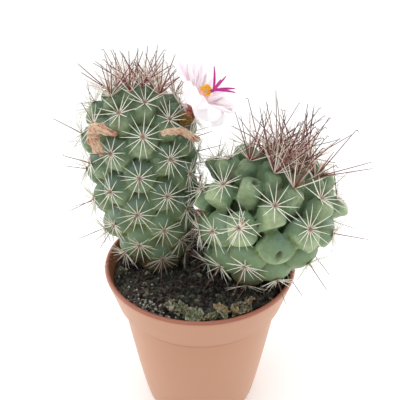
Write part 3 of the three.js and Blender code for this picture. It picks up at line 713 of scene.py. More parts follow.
class FlowerSettings(bpy.types.PropertyGroup):
    """The sizes and colours of the flower"""

    petal_length: length("Petal length", "Length of a petal", 12.8 * MM)
    petal_width: length("Petal width", "Width of a petal", 5.6 * MM)
    petal_thickness: length("Petal thickness", "Thickness of a petal", 0.22 * MM)
    stamens: count("Stamens", "Number of stamens", 90)
    petal_colour: colour("Petal colour", "The margins of a petal", 252, 245, 247)
    stripe_colour: colour("Stripe colour", "The middle stripe of a petal", 238, 180, 208)
    throat_colour: colour("Throat colour", "The bases of the petals", 226, 160, 180)
    anther_colour: colour("Anther colour", "Pollen on the anthers", 250, 192, 48)
    style_colour: colour("Style colour", "The style and its lobes", 192, 44, 146)


class WitheredSettings(bpy.types.PropertyGroup):
    """The colours of the withered flowers and the old bud"""

    dry_colour: colour("Dry colour", "Dried petals", 234, 198, 170)
    flush_colour: colour("Flush colour", "Pink that stays in the dried petals", 204, 134, 118)
    bud_colour: colour("Bud colour", "The old bud", 162, 130, 66)


class StageSettings(bpy.types.PropertyGroup):
    """The floor, light and camera"""

    sky: FloatProperty(name="Sky", description="Strength of the white surroundings", default=1.22, min=0)
    side_light: FloatProperty(name="Side light", description="Power of each side light", default=0.42, min=0,
                              unit="POWER")
    floor_colour: colour("Floor colour", "The plain floor", 250, 250, 250)


# The pot

DRAIN_HOLES = 5
DRAIN_RING = 14.5 * MM
DRAIN_RADIUS = 2.4 * MM
FLOOR_TOP = 1.6 * MM
FOOT_ROUNDING = 1.8 * MM
LIP_RADIUS = 0.75 * MM
EASE = 0.8 * MM

# Points of the ridge and of the collar's step, in millimetres: out from the body's top radius or from the
# collar's foot radius, and up from the collar's lower edge
RIDGE = ((-0.20, -2.70), (0.02, -2.45), (0.04, -2.15), (-0.06, -1.85), (0, -0.60), (0.35, -0.25))
COLLAR_STEP = ((-0.35, 0), (-0.05, 0.25), (0.05, 0.8))


class MAMMILLARIA_OT_pot(bpy.types.Operator):
    """Models the pot: tapered body, stepped collar, rolled lip, wall, floor and drain holes"""

    bl_idname = "mammillaria.pot"
    bl_label = "Pot"

    def execute(self, context):
        size = context.scene.mammillaria_pot
        pot = turned("pot_body", pot_profile(size), sides=128)
        for i in range(DRAIN_HOLES):
            turn = 2 * math.pi * (i + 0.5) / DRAIN_HOLES
            pick()
            place = (DRAIN_RING * math.cos(turn), DRAIN_RING * math.sin(turn), FLOOR_TOP / 2)
            bpy.ops.mesh.primitive_cylinder_add(vertices=24, radius=DRAIN_RADIUS, depth=6 * MM,
                                                location=place)
            drill = named("drain_drill")
            finish_with(pot, "BOOLEAN", object=drill, operation="DIFFERENCE", solver="EXACT")
            discard(drill)
        smooth_shaded(pot, 32)
        plastic(size).cover(pot)
        declare(pot, "pot", "pot")
        return {"FINISHED"}


def pot_profile(size):
    """Points up the outside, over the lip and down the inside, as (radius, height)"""
    base, body, foot, rim = size.base_radius, size.body_top, size.collar_foot, size.rim_radius
    top, wall = size.height, size.wall
    collar = top - size.collar_height
    profile = [(base - FOOT_ROUNDING, 0)]
    for i in range(1, 6):
        turn = math.pi / 2 * i / 5
        profile.append((base - FOOT_ROUNDING * (1 - math.sin(turn)), FOOT_ROUNDING * (1 - math.cos(turn))))
    for i in range(1, 9):
        share = i / 9
        profile.append((mix(base, body, share ** 0.86), mix(FOOT_ROUNDING, collar - EASE, share)))
    profile += [(body + out * MM, collar + up * MM) for out, up in RIDGE]
    profile += [(foot + out * MM, collar + up * MM) for out, up in COLLAR_STEP]
    for share in (0.25, 0.5, 0.75, 1.0):
        radius = mix(foot + 0.05 * MM, rim - 0.22 * MM, share)
        profile.append((radius, mix(collar + EASE, top - 1.7 * MM, share)))
    for i in range(9):
        turn = math.pi * (i / 8) - 0.25
        radius = rim - LIP_RADIUS + LIP_RADIUS * math.cos(turn)
        height = top - LIP_RADIUS + LIP_RADIUS * math.sin(turn)
        profile.append((min(radius, rim), min(height, top)))
    inside = [(rim - wall - 0.25 * MM, top - 2 * MM), (foot - wall, collar + EASE),
              (body - wall, collar - EASE), (base - wall, FLOOR_TOP + EASE),
              (base - wall - EASE, FLOOR_TOP), (4 * MM, FLOOR_TOP)]
    return profile + inside


def plastic(size):
    finish = Finish("Terracotta plastic", Coat_Weight=0.25, Coat_Roughness=0.3, Specular_IOR_Level=0.5,
                    Subsurface_Weight=0.08, Subsurface_Scale=0.002)
    rim = finish.step(finish.height(), size.height - 0.75 * MM, size.height - 0.3 * MM)
    clouds = finish.noise(9 * MM, detail=4)
    colours = finish.layered(size.body_colour, (clouds * 0.35, paint(196, 144, 112)), (rim, size.rim_colour))
    streaks = finish.noise(1.0, where=finish.stretched(300, 300, 40))
    grain = finish.noise(0.35 * MM, detail=2)
    return finish.feed(Base_Color=colours, Roughness=0.38 + clouds * 0.12 + streaks * 0.06,
                       Normal=finish.bump(grain * 0.6 + streaks * 0.4, 0.02 * MM, 0.5))


# The soil

# Room between the soil and the pot or a stem, and the reach of the loose grains. Then the turn about the pot
# where pumice has drifted and how far it spreads, in degrees, and the number of dry scraps and their reach.
SOIL_GAP = 0.3 * MM
GRAIN_REACH = 29.0 * MM
DRIFT_TURN = 232
DRIFT_SPREAD = 22
SCRAPS = 36
SCRAP_REACH = 26.6 * MM

# A full turn, as the draws by chance take it
SPIN = 6.28


def ground_height(x, y, swell):
    """The ground's height at a place, rolling gently and lumpy"""
    roll = 0.5 * math.sin(420 * x + 1.3) * math.cos(370 * y) + 0.5 * math.sin(800 * y + 310 * x)
    lumps = noise.noise(Vector((x, y, 0)) / (2.6 * MM))
    lumps += 0.5 * noise.noise(Vector((x, y, 5 * MM)) / (1.1 * MM))
    return SOIL_Z + swell * (0.6 * roll + 0.8 * lumps)


class MAMMILLARIA_OT_soil(bpy.types.Operator):
    """Models the bed of peat with its crumbs, pumice grains and dry scraps"""

    bl_idname = "mammillaria.soil"
    bl_label = "Soil"

    def execute(self, context):
        size = context.scene.mammillaria_soil
        pot = context.scene.mammillaria_pot
        bed = soil_bed(size, pot)
        crumbs = crumbs_on(size, "soil_crumbs", size.crumbs, size.crumb_size, seed=11)
        stones = crumbs_on(size, "soil_pumice", size.stones, 0.5 * size.crumb_size, seed=12, drift=0.75)
        scraps = dry_scraps(size)
        peat(size).cover(bed)
        loose_peat(size).cover(crumbs)
        pumice().cover(stones)
        dry_moss(size).cover(scraps)
        declare(bed, "soil", "soil")
        for piece in (crumbs, stones, scraps):
            declare(piece, "soil")
        return {"FINISHED"}


def soil_bed(size, pot):
    """The body of the peat, rolling on top, with a hole for each stem's plug"""
    collar = pot.height - pot.collar_height
    inset = pot.wall + SOIL_GAP
    top = pot.rim_radius - pot.wall - 1.5 * MM
    profile = [(pot.base_radius - inset - 0.6 * MM, FLOOR_TOP + SOIL_GAP),
               (pot.base_radius - inset, FLOOR_TOP + SOIL_GAP + 0.6 * MM),
               (pot.body_top - inset, collar - EASE), (pot.collar_foot - inset, collar + EASE),
               (top, SOIL_Z - 0.6 * MM)]
    rings = 26
    profile += [(top * (1 - i / rings), SOIL_Z) for i in range(1, rings)]
    bed = turned("soil_bed", profile, sides=120)
    places = points_of(bed)
    for place in places:
        if place[2] > SOIL_Z - 0.1 * MM:
            place[2] = ground_height(place[0], place[1], size.swell)
    move_points(bed, places)
    for stem in (LEFT, RIGHT):
        pick()
        radius = stem.radius * stem.foot_share - PLUG_INSET + SOIL_GAP
        bpy.ops.mesh.primitive_cylinder_add(vertices=40, radius=radius, depth=9 * MM,
                                            location=(*stem.foot, SOIL_Z - 0.8 * MM))
        hole = named("stem_hole")
        finish_with(bed, "BOOLEAN", object=hole, operation="DIFFERENCE", solver="EXACT")
        discard(hole)
    return smooth_shaded(bed, 60)


def crumb_master(name, seed):
    """One rough grain with few faces"""
    pick()
    bpy.ops.mesh.primitive_uv_sphere_add(segments=7, ring_count=5, radius=1)
    grain = named(name)
    rng = random.Random(seed)
    places = points_of(grain)
    places *= np.array([[rng.uniform(0.5, 1.3)] for _ in places])
    move_points(grain, places * (1, rng.uniform(0.45, 0.9), rng.uniform(0.4, 0.8)))
    return mark_height(face_out(grain))


def is_open_ground(x, y):
    """True for a place on the ground that no stem covers"""
    return all(math.hypot(x - stem.foot[0], y - stem.foot[1]) > stem.radius * stem.foot_share - 1.2 * MM
               for stem in (LEFT, RIGHT))


def crumbs_on(size, name, number, radius, seed, drift=0.0):
    """Grains spread over the ground, with a share of them drifted against the front left of the rim"""
    rng = random.Random(seed)
    masters = [crumb_master(f"crumb{i}", seed * 10 + i) for i in range(4)]
    copies = []
    while len(copies) < number:
        out = GRAIN_REACH * math.sqrt(rng.random())
        turn = rng.uniform(0, 2 * math.pi)
        if rng.random() < drift:
            out = GRAIN_REACH * rng.uniform(0.80, 1.0)
            turn = math.radians(rng.gauss(DRIFT_TURN, DRIFT_SPREAD))
        x, y = out * math.cos(turn), out * math.sin(turn)
        grain = max(radius * rng.uniform(0.3, 1.0) ** 2, 0.2 * MM)
        if not is_open_ground(x, y):
            continue
        spin = Matrix.Rotation(rng.uniform(0, SPIN), 4, "Z") @ Matrix.Rotation(rng.uniform(-0.5, 0.5), 4, "X")
        place = Matrix.Translation((x, y, ground_height(x, y, size.swell) + 0.15 * grain))
        copies.append((rng.randrange(4), place @ spin @ Matrix.Scale(grain, 4), {"tint": rng.random()}))
    grains = stamped(name, masters, copies)
    discard(*masters)
    return smooth_shaded(grains, 40)


def dry_scraps(size):
    """Curled dry leaves and husks in a loose heap near the front of the rim"""
    rng = random.Random(5)
    pieces = []
    for number in range(SCRAPS):
        share = rng.random()
        x = mix(-10.5, 16, share) * MM
        y = (-24.6 + 2.8 * math.cos(2.2 * share * math.pi) + rng.uniform(-1.8, 1.8)) * MM
        out = math.hypot(x, y)
        if out > SCRAP_REACH:
            x, y = x * SCRAP_REACH / out, y * SCRAP_REACH / out
        reach = rng.uniform(1.3, 3.4) * MM * mix(0.7, 1, math.sin(math.pi * share))
        pick()
        bpy.ops.mesh.primitive_grid_add(x_subdivisions=10, y_subdivisions=7, size=2)
        scrap = named(f"scrap{number}")
        points = points_of(scrap)
        curl = rng.uniform(0.5, 1.5)
        narrow = rng.uniform(0.3, 0.65)
        for point in points:
            a, b = point[0], point[1] * (1 - 0.75 * abs(point[0]) ** 1.6)
            ragged = 1 + 0.4 * noise.noise(Vector((a * 2.4, b * 2.4, number * 3.3)))
            crumple = noise.noise(Vector((a * 2.2, b * 2.2, number * 7.7)))
            bow = curl * (abs(b) ** 1.5 + 0.5 * a * a)
            ribs = 0.16 * math.sin(9 * b + 2 * a)
            height = 0.55 * bow + 0.5 * crumple + ribs
            point[:] = (a * reach * ragged, b * reach * narrow * ragged, reach * height)
        move_points(scrap, points)
        turn = Matrix.Rotation(rng.uniform(0, SPIN), 4, "Z") @ Matrix.Rotation(rng.uniform(-0.9, 0.9), 4, "X")
        rest = Matrix.Translation((x, y, ground_height(x, y, size.swell) + rng.uniform(0.3, 2.2) * MM))
        scrap.data.transform(rest @ turn)
        finish_with(scrap, "SOLIDIFY", thickness=0.16 * MM, offset=0)
        finish_with(scrap, "SUBSURF", levels=1, render_levels=1)
        mark(scrap, "tint", np.full(len(scrap.data.vertices), rng.random()))
        pieces.append(scrap)
    scraps = joined("soil_scraps", pieces)
    return smooth_shaded(scraps, 50)


def peat(size):
    finish = Finish("Peat", Specular_IOR_Level=0.2)
    lumps = finish.noise(1.3 * MM, detail=6, roughness=0.7)
    dust = finish.step(finish.noise(0.5 * MM, detail=3), 0.6, 0.72)
    fine = finish.noise(0.22 * MM, detail=4, roughness=0.7)
    colours = finish.layered(
        paint(16, 14, 14),
        (finish.step(lumps, 0.35, 0.75), size.peat_colour),
        (dust * 0.35, size.pale_colour),
    )
    return finish.feed(Base_Color=colours, Roughness=0.85 + lumps * 0.15,
                       Normal=finish.bump(fine * 0.5 + lumps, 0.35 * MM))


def loose_peat(size):
    """Peat in crumbs of many shades, from black to dry brown"""
    finish = Finish("Loose peat", Specular_IOR_Level=0.25)
    tint = finish.marked("tint")
    lumps = finish.noise(0.9 * MM, detail=5, roughness=0.7)
    moss = finish.step(finish.noise(9 * MM, detail=1) + tint * 0.3, 0.6, 0.74)
    colours = finish.layered(
        paint(30, 25, 27),
        (finish.step(tint, 0.1, 0.95), size.peat_colour),
        (moss * 0.6, paint(64, 86, 66)),
        (finish.step(tint, 0.9, 0.98) * 0.8, size.pale_colour),
        (finish.step(lumps, 0.3, 0.65) * 0.6, paint(40, 33, 34)),
    )
    return finish.feed(Base_Color=colours, Roughness=0.75 + lumps * 0.2, Normal=finish.bump(lumps, 0.3 * MM))


def pumice():
    finish = Finish("Pumice", Specular_IOR_Level=0.3)
    tint = finish.marked("tint")
    pores = finish.cells(0.28 * MM)
    colours = finish.layered(
        paint(120, 116, 106),
        (tint, paint(232, 228, 216)),
        (finish.step(pores, 0.35, 0.1) * 0.5, paint(70, 62, 54)),
    )
    return finish.feed(Base_Color=colours, Roughness=0.8 + tint * 0.1, Normal=finish.bump(pores, 0.12 * MM))


def dry_moss(size):
    finish = Finish("Dry scraps", Specular_IOR_Level=0.25)
    veins = finish.noise(0.9 * MM, detail=5, roughness=0.65)
    fibres = finish.noise(1.0, where=finish.stretched(3000, 700, 1500), detail=3)
    tint = finish.marked("tint")
    colours = finish.layered(
        paint(72, 74, 56),
        (finish.step(veins, 0.35, 0.65), size.pale_colour),
        (finish.step(tint, 0.72, 0.86) * 0.7, paint(150, 122, 84)),
        (finish.step(tint, 0.5, 0.2) * 0.7, paint(92, 112, 78)),
        (finish.step(fibres, 0.5, 0.68) * 0.7, paint(208, 202, 180)),
    )
    return finish.feed(Base_Color=colours, Roughness=0.8 + veins * 0.1,
                       Normal=finish.bump(fibres + veins, 0.18 * MM))


# The stems' skin

# Half the width and height of a bald tubercle's pit, its depth, and the height of the ring round it
PIT_WIDTH = 0.75 * MM
PIT_HEIGHT = 1.15 * MM
PIT_DEPTH = 1.1 * MM
PIT_RING = 0.45 * MM

# Each stem's skin and areoles by its node's name, which the spines need
SKINS = {}


class MAMMILLARIA_OT_stems(bpy.types.Operator):
    """Models the two stems' skins: a tubercle at each place of the spiral, fused over a core"""

    bl_idname = "mammillaria.stems"
    bl_label = "Stems"

    def execute(self, context):
        look = context.scene.mammillaria_skin
        finish = skin(look)
        for stem in (LEFT, RIGHT):
            rows = growth(stem)
            areoles = spiral(stem, rows)
            body = stem_body(stem, rows, areoles, look)
            finish.cover(body)
            declare(body, stem.node, stem.node)
            SKINS[stem.node] = (body, areoles)
        return {"FINISHED"}


def tubercle_master(stem):
    """A blunt or pointed cone of unit radius and height, sunk a little at its foot"""
    cone = [(1.04, -0.35), (1.0, 0.0), (0.84, 0.3), (0.64, 0.6), (0.45, 0.82), (0.26, 0.95), (0.08, 1.0)]
    thumb = [(1.04, -0.35), (1.0, 0.0), (0.97, 0.3), (0.90, 0.6), (0.74, 0.82), (0.46, 0.96), (0.12, 1.0)]
    profile = [(mix(a[0], b[0], stem.blunt), mix(a[1], b[1], stem.blunt)) for a, b in zip(cone, thumb)]
    master = turned("tubercle", profile, sides=16)
    finish_with(master, "SUBSURF", levels=1, render_levels=1)
    return mark_height(master)


def press_apart(body, areoles, gap):
    """Moves each tubercle's points to its own side of the planes halfway to its neighbours"""
    places = points_of(body).reshape(len(areoles), -1, 3)
    for areole, own in zip(areoles, places):
        for other in areoles:
            apart = other.tip - areole.tip
            if other is areole or apart.length > 1.9 * max(areole.size, other.size):
                continue
            axis = (areole.axis + other.axis).normalized()
            across = apart - axis * apart.dot(axis)
            width = across.length
            across.normalize()
            share = areole.size / (areole.size + other.size)
            reach = (own - np.array(areole.tip)) @ np.array(across) - (width * share - gap / 2)
            own -= np.array(across) * np.maximum(reach, 0)[:, None]
    return move_points(body, places.reshape(-1, 3))


def core_of(stem, rows):
    """The stem's flesh under its tubercles: a ball drawn out along the axis, and a plug in the soil"""
    pick()
    bpy.ops.mesh.primitive_uv_sphere_add(segments=48, ring_count=48, radius=1)
    core = named("core")
    places = points_of(core)
    plug = stem.radius * stem.foot_share - PLUG_INSET
    for place in places:
        polar = math.acos(max(-1, min(1, place[2]))) / math.pi
        share = 1.0 - 1.09 * polar
        row = row_at(rows, max(share, 0))
        depth = stem.relief * row["age"]
        across, beside = square_to(row["along"], Vector((1, 0, 0)))
        turn = math.atan2(place[1], place[0])
        radius = row["radius"] - depth * math.cos(row["slope"])
        point = row["point"] - row["along"] * depth * math.sin(row["slope"])
        if share < 0.04:
            radius = plug
            point = Vector((*stem.foot, SOIL_Z - 4.5 * MM * clamp(-share / 0.06)))
            across, beside = Vector((1, 0, 0)), Vector((0, 1, 0))
        radius = max(0, radius) if 0 < polar < 0.995 else 0
        place[:] = point + (across * math.cos(turn) + beside * math.sin(turn)) * radius
    move_points(core, places)
    return face_out(core)


def stem_body(stem, rows, areoles, look):
    master = tubercle_master(stem)
    core = core_of(stem, rows)
    copies = []
    for areole in areoles:
        girth = areole.size * 0.6
        foot = areole.tip - areole.axis * areole.depth
        matrix = frame_matrix(areole.side * girth, areole.up * girth, areole.axis * areole.depth, foot)
        copies.append((0, matrix, {}))
    body = stamped(f"{stem.node}_skin", [master], copies)
    press_apart(body, areoles, stem.groove)
    body = joined(f"{stem.node}_skin", [body, core])
    discard(master)
    finish_with(body, "REMESH", mode="VOXEL", voxel_size=look.grain, adaptivity=0)
    finish_with(body, "SMOOTH", factor=0.5, iterations=6)
    body = largest_part(body)
    mark_skin(body, stem, areoles)
    return smooth_shaded(body)


def largest_part(obj):
    """Keeps only the largest connected part of a mesh"""
    name = obj.name
    with editing(obj):
        bpy.ops.mesh.separate(type="LOOSE")
    parts = sorted(bpy.context.selected_objects, key=lambda part: -len(part.data.vertices))
    discard(*parts[1:])
    parts[0].name = name
    return parts[0]


def sink_pits(places, stem, areoles):
    """Sinks a pit with a raised ring in each bald tubercle, and gives how deep in a pit each point lies"""
    pit = np.zeros(len(places))
    for areole in areoles:
        if areole.index not in stem.bald:
            continue
        out_of_axil = (areole.axis - areole.up * 0.9 * clamp(areole.up.z)).normalized()
        aside, upwards = stem.bald[areole.index]
        middle = areole.tip + areole.side * aside + areole.up * upwards
        arm = places - np.array(middle - areole.up * (1.5 * MM * clamp(1 - areole.up.z) * 2))
        wide = arm @ np.array(areole.side) / PIT_WIDTH
        high = arm @ np.array(out_of_axil.cross(areole.side)) / PIT_HEIGHT
        out = np.hypot(wide, high)
        close = np.linalg.norm(arm, axis=1) < 4 * MM
        hollow = np.where(close, np.clip(1.25 - out, 0, 1), 0)
        ring = np.where(close, np.exp(-((out - 1.5) / 0.45) ** 2), 0)
        places += np.array(out_of_axil) * (PIT_RING * ring - PIT_DEPTH * hollow)[:, None]
        pit = np.maximum(pit, hollow)
    return pit


def mark_skin(body, stem, areoles):
    """Sinks the pits, keeps the skin on its side, ruffles it, and marks where each point lies"""
    places = points_of(body)
    pit = sink_pits(places, stem, areoles)
    for place in places:
        place[:] = keep_aside(stem, Vector(place), PARTING_GAP / 2)
    waves = [noise.noise(Vector(place) / (2.4 * MM)) for place in places]
    move_points(body, places)
    places += normals_of(body) * (0.10 * MM * np.array(waves))[:, None]
    move_points(body, places)

    normals = normals_of(body)
    arms = places[:, None, :] - np.array([areole.tip for areole in areoles])[None]
    axes = np.array([areole.axis for areole in areoles])
    sizes = np.array([areole.size for areole in areoles])
    along = np.einsum("ijk,jk->ij", arms, axes)
    aside = np.linalg.norm(arms - along[:, :, None] * axes[None], axis=2) + 0.25 * np.abs(along)
    nearest = np.argmin(aside / sizes, axis=1)
    rows = np.arange(len(places))
    ups = np.array([areole.up for areole in areoles])[nearest]
    arm = arms[rows, nearest] / sizes[nearest][:, None]
    lean = np.stack([np.einsum("ij,ij->i", normals, ups), np.einsum("ij,ij->i", arm, ups)], axis=1)
    lean = smoothed(body, lean, 8)
    mark(body, "above", lean[:, 0])
    mark(body, "over", lean[:, 1])
    mark(body, "reach", np.linalg.norm(arm, axis=1))
    mark(body, "groove", np.einsum("ij,ij->i", smoothed(body, places, 24) - places, normals) / (0.8 * MM))
    mark(body, "age", np.array([areole.age for areole in areoles])[nearest])
    mark(body, "pit", pit)
    mark(body, "fair", np.full(len(places), stem.fair))


def smoothed(body, values, rounds):
    """Numbers at a mesh's points, with each replaced by the mean of its neighbours, a number of times"""
    edges = np.empty(len(body.data.edges) * 2, np.int32)
    body.data.edges.foreach_get("vertices", edges)
    first, second = edges.reshape(-1, 2).T
    size = len(values)
    links = np.bincount(first, minlength=size) + np.bincount(second, minlength=size)
    for _ in range(rounds):
        total = np.zeros_like(values)
        for column in range(values.shape[1]):
            total[:, column] = np.bincount(first, values[second, column], size)
            total[:, column] += np.bincount(second, values[first, column], size)
        values = total / links[:, None]
    return values


def skin(look):
    finish = Finish("Cactus skin", Specular_IOR_Level=0.4, Subsurface_Weight=0.10, Subsurface_Scale=0.0012,
                    Subsurface_Radius=(0.4, 1.0, 0.3))
    above = finish.marked("above")
    over = finish.marked("over")
    groove = finish.marked("groove")
    age = finish.marked("age")
    fair = finish.marked("fair")
    clouds = finish.noise(5 * MM, detail=4)
    mottle = finish.noise(1.3 * MM, detail=5, roughness=0.65)
    side = above * 0.6 + over * 0.9 + (clouds - 0.5) * 0.8 + (mottle - 0.5) * 0.5
    below = finish.step(side, 0.05, -0.95)
    # Upper faces turn dark blue-green, with teal patches: partly the real waxy bloom, partly painted shade
    # from the tubercle above
    bloom_and_shade = finish.step(side, 0.1, 0.8)
    # Lower faces made paler: partly the real paler skin below each areole, partly painted light (lit) from
    # below
    lit = (below * 0.55 + 0.05) * finish.step(age, 0.5, 0.95)
    patches = finish.noise(2.6 * MM, detail=4, roughness=0.6, where=finish.stretched(1, 1, 0.6))
    low = finish.step(finish.height() + (clouds - 0.5) * 0.05, SOIL_Z + 42 * MM, SOIL_Z + 8 * MM)
    base = finish.step(finish.height() + (clouds - 0.5) * 0.012, SOIL_Z + 9 * MM, SOIL_Z + 1 * MM)
    colours = finish.layered(
        look.dark_colour,
        (bloom_and_shade * 0.85, look.bloom_and_shade_colour),
        (fair * (lit + 0.22), paint(176, 210, 168)),
        (below * finish.step(age, 0.35, 0.9) * (0.25 + fair * 0.45), look.pale_colour),
        (finish.step(mottle, 0.35, 0.65) * 0.28, paint(54, 80, 52)),
        (finish.step(patches, 0.52, 0.68) * bloom_and_shade * 0.75, paint(84, 118, 120)),
        (finish.step(mottle + clouds, 1.12, 1.32) * 0.5, paint(176, 182, 152)),
        (low * 0.3, paint(158, 180, 118)),
        (finish.step(groove + (mottle - 0.5) * 0.4, 0.05, 0.5) * (0.3 + low * 0.6), look.valley_colour),
        # Painted shade: near-black green deep in the grooves between tubercles, weaker low on the stem
        (finish.step(groove, 0.3, 1.0) * (0.8 - low * 0.6), paint(34, 46, 28)),
        (base * 0.8, look.cork_colour),
        (finish.step(finish.marked("reach"), 0.13, 0.07) * 0.4, paint(126, 110, 84)),
        # Painted shade: dark green that deepens with the depth of a bald tubercle's pit
        (finish.marked("pit"), paint(46, 70, 34)),
    )
    pores = finish.cells(0.32 * MM)
    relief = pores * 0.35 + finish.noise(0.7 * MM, detail=3) * 0.65
    return finish.feed(Base_Color=colours, Roughness=0.42 + mottle * 0.2,
                       Normal=finish.bump(relief, 0.07 * MM, 0.7))


# The spines

# What a spine must stay clear of beside the stems' skins, and how far from its root it must be clear
OBSTACLES = ("flower_corolla", "withered_left", "withered_right", "bud_husk")
ROOT_REACH = 0.9 * MM
HOOK_LENGTH = 0.8 * MM
HOOK_BEND = 0.38 * MM


class MAMMILLARIA_OT_spines(bpy.types.Operator):
    """Models the felt of each areole, its star of radial spines and its hooked central ones"""

    bl_idname = "mammillaria.spines"
    bl_label = "Spines"

    def execute(self, context):
        look = context.scene.mammillaria_spines
        solids = [body for body, _ in SKINS.values()]
        solids += [bpy.data.objects[name] for name in OBSTACLES]
        obstacles = [surface_of(solid) for solid in solids]
        straight = [radial_master(look, f"radial{i}", bend) for i, bend in enumerate((-0.35, 0.0, 0.4))]
        hooked = [central_master(look, f"central{i}", hook) for i, hook in enumerate((0.12, 0.6, 1.2))]
        felt = [felt_master()]
        radial_finish = radial_colours(look)
        central_finish = central_colours(look)
        felt_finish = felt_colours(look)
        for stem in (LEFT, RIGHT):
            _, areoles = SKINS[stem.node]
            radials, centrals, pads = star_places(stem, areoles, look, obstacles)
            for part, masters, copies, finish in (("radials", straight, radials, radial_finish),
                                                  ("centrals", hooked, centrals, central_finish),
                                                  ("felt", felt, pads, felt_finish)):
                piece = stamped(f"{stem.node}_{part}", masters, copies)
                finish.cover(piece)
                declare(piece, stem.node)
        discard(*straight, *hooked, *felt)
        return {"FINISHED"}


def surface_of(obj):
    """A tree of an object's faces, to test what a spine would meet"""
    return BVHTree.FromPolygons([v.co.copy() for v in obj.data.vertices],
                                [tuple(face.vertices) for face in obj.data.polygons])


def radial_master(look, name, bend):
    """A straight or faintly bent needle of its real length, along +Z"""
    length, radius = look.radial_length, look.radial_radius
    rings = [(1.35, -0.02), (1.2, 0.03), (0.95, 0.12), (0.78, 0.45), (0.5, 0.8), (0.1, 1.0)]
    needle = turned(name, [(radius * r, length * z) for r, z in rings], sides=5)
    places = points_of(needle)
    places[:, 0] += bend * MM * (places[:, 2] / length) ** 2
    return mark_height(move_points(needle, places))


def central_master(look, name, hook):
    """A needle of its real length along +Z, with a hook at its end that turns to +X"""
    radius = look.central_radius
    straight = look.central_length - HOOK_LENGTH
    points = [(0, 0, -0.1 * MM), (0.05 * MM, 0, 0.45 * straight), (0, 0, straight)]
    radii = [1.5 * radius, 1.0 * radius, 0.6 * radius]
    for turn, thin in ((0.35, 0.5), (0.75, 0.38), (1.2, 0.15)):
        angle = turn * hook * 1.9
        rise = HOOK_BEND * turn * 0.9 * math.sin(angle) / max(angle, 0.1)
        points.append((HOOK_BEND * (1 - math.cos(angle)), 0, straight + rise))
        radii.append(thin * radius)
    return mark_height(tube(name, points, radii, sides=6, fineness=2))


def felt_master():
    """A low dome of felt, a little longer than wide"""
    dome = turned("felt", [(1.0, -0.25), (1.02, 0.0), (0.86, 0.38), (0.55, 0.62), (0.15, 0.72)], sides=9)
    places = points_of(dome)
    rng = random.Random(2)
    places *= np.array([[rng.uniform(0.88, 1.12)] for _ in places])
    return mark_height(move_points(dome, places))


def inside_box(point):
    return all(low < value < high for low, value, high in zip(CAD_BOX[0], point, CAD_BOX[1]))


def is_clear(root, direction, length, obstacles):
    """True where a spine meets no skin once it has left its own areole, and stays in the part's box"""
    start = root + direction * ROOT_REACH
    if not inside_box(root + direction * length):
        return False
    return all(tree.ray_cast(start, direction, length - ROOT_REACH)[0] is None for tree in obstacles)


def needle_matrix(root, direction, roll, size, girth):
    """Stands a master along a direction, turned about it so that +X leans to the roll direction"""
    across = (roll - direction * roll.dot(direction)).normalized()
    return frame_matrix(across * girth, direction.cross(across) * girth, direction * size, root)


class Star(NamedTuple):
    """How one areole's spines stand.

    Shares say how near it is to full size, how young it is, how far in the crown, how long its radials are
    and how rosy. Its radials spread about the way it faces, with rise square to that. A twin has two stars.
    """

    areole: Areole
    small: float
    young: float
    crown: float
    long: float
    rosy: float
    face: Vector
    rise: Vector
    twin: bool


def star_of(stem, areole):
    crown = clamp((stem.crown - areole.index) / 4)
    back = areole.ascent * 0.7 * (1 - crown)
    return Star(
        areole=areole,
        small=min(1, areole.size / (6 * MM)),
        young=clamp((1 - areole.age) / 0.5),
        crown=crown,
        long=clamp((1.5 * stem.crown - areole.index) / (1.2 * stem.crown)),
        rosy=clamp(1 - (areole.tip.z - SOIL_Z) / (34 * MM)) * (1 - stem.fair),
        face=areole.axis * math.cos(back) - areole.up * math.sin(back),
        rise=areole.up * math.cos(back) + areole.axis * math.sin(back),
        twin=areole.index in stem.double,
    )


def pad_of(star, rng):
    """The felt of an areole, as a copy for stamped()"""
    areole = star.areole
    felt = 0.5 * MM * mix(0.8, 1, star.small) * (1.9 if star.twin else 1)
    matrix = frame_matrix(areole.side * felt * 0.85, areole.up * felt, areole.axis * felt, areole.tip)
    return 0, matrix, {"tint": rng.random(), "cream": float(star.twin)}


def radial_spines(stem, star, look, obstacles, rng):
    """The straight spines around an areole, as copies for stamped()"""
    areole = star.areole
    number = look.radials + rng.choice((-1, 0, 0, 1, 2)) - round(3 * star.young) + (9 if star.twin else 0)
    phase = rng.uniform(0, 2 * math.pi)
    girth = mix(1.0, 0.85, star.crown)
    copies = []
    for i in range(number):
        turn = phase + 2 * math.pi * (i + rng.uniform(-0.22, 0.22)) / number
        side = areole.side * math.cos(turn) + star.rise * math.sin(turn)
        tilt = rng.uniform(8, 26) + star.young * rng.uniform(6, 58 if star.crown else 34)
        if star.twin:
            tilt += rng.uniform(0, 30)
        full = mix(look.radial_length * stem.radial_share, stem.young_spine * 0.72, star.long)
        full *= rng.uniform(0.8, 1.14)
        root = areole.tip + star.face * (0.15 * MM) + side * (0.42 * MM * star.small)
        if star.twin:
            root += areole.up * (rng.choice((-1.4, 1.1)) * MM)
        for attempt in range(8):
            lift = math.radians(tilt + 6 * attempt)
            direction = (side * math.cos(lift) + star.face * math.sin(lift)).normalized()
            if is_clear(root, direction, full, obstacles):
                matrix = needle_matrix(root, direction, star.face, full / look.radial_length, girth)
                kind = rng.randrange(3)
                copies.append((kind, matrix, {"tint": rng.random(), "young": star.crown, "rosy": star.rosy}))
                break
            full *= 0.95
    return copies


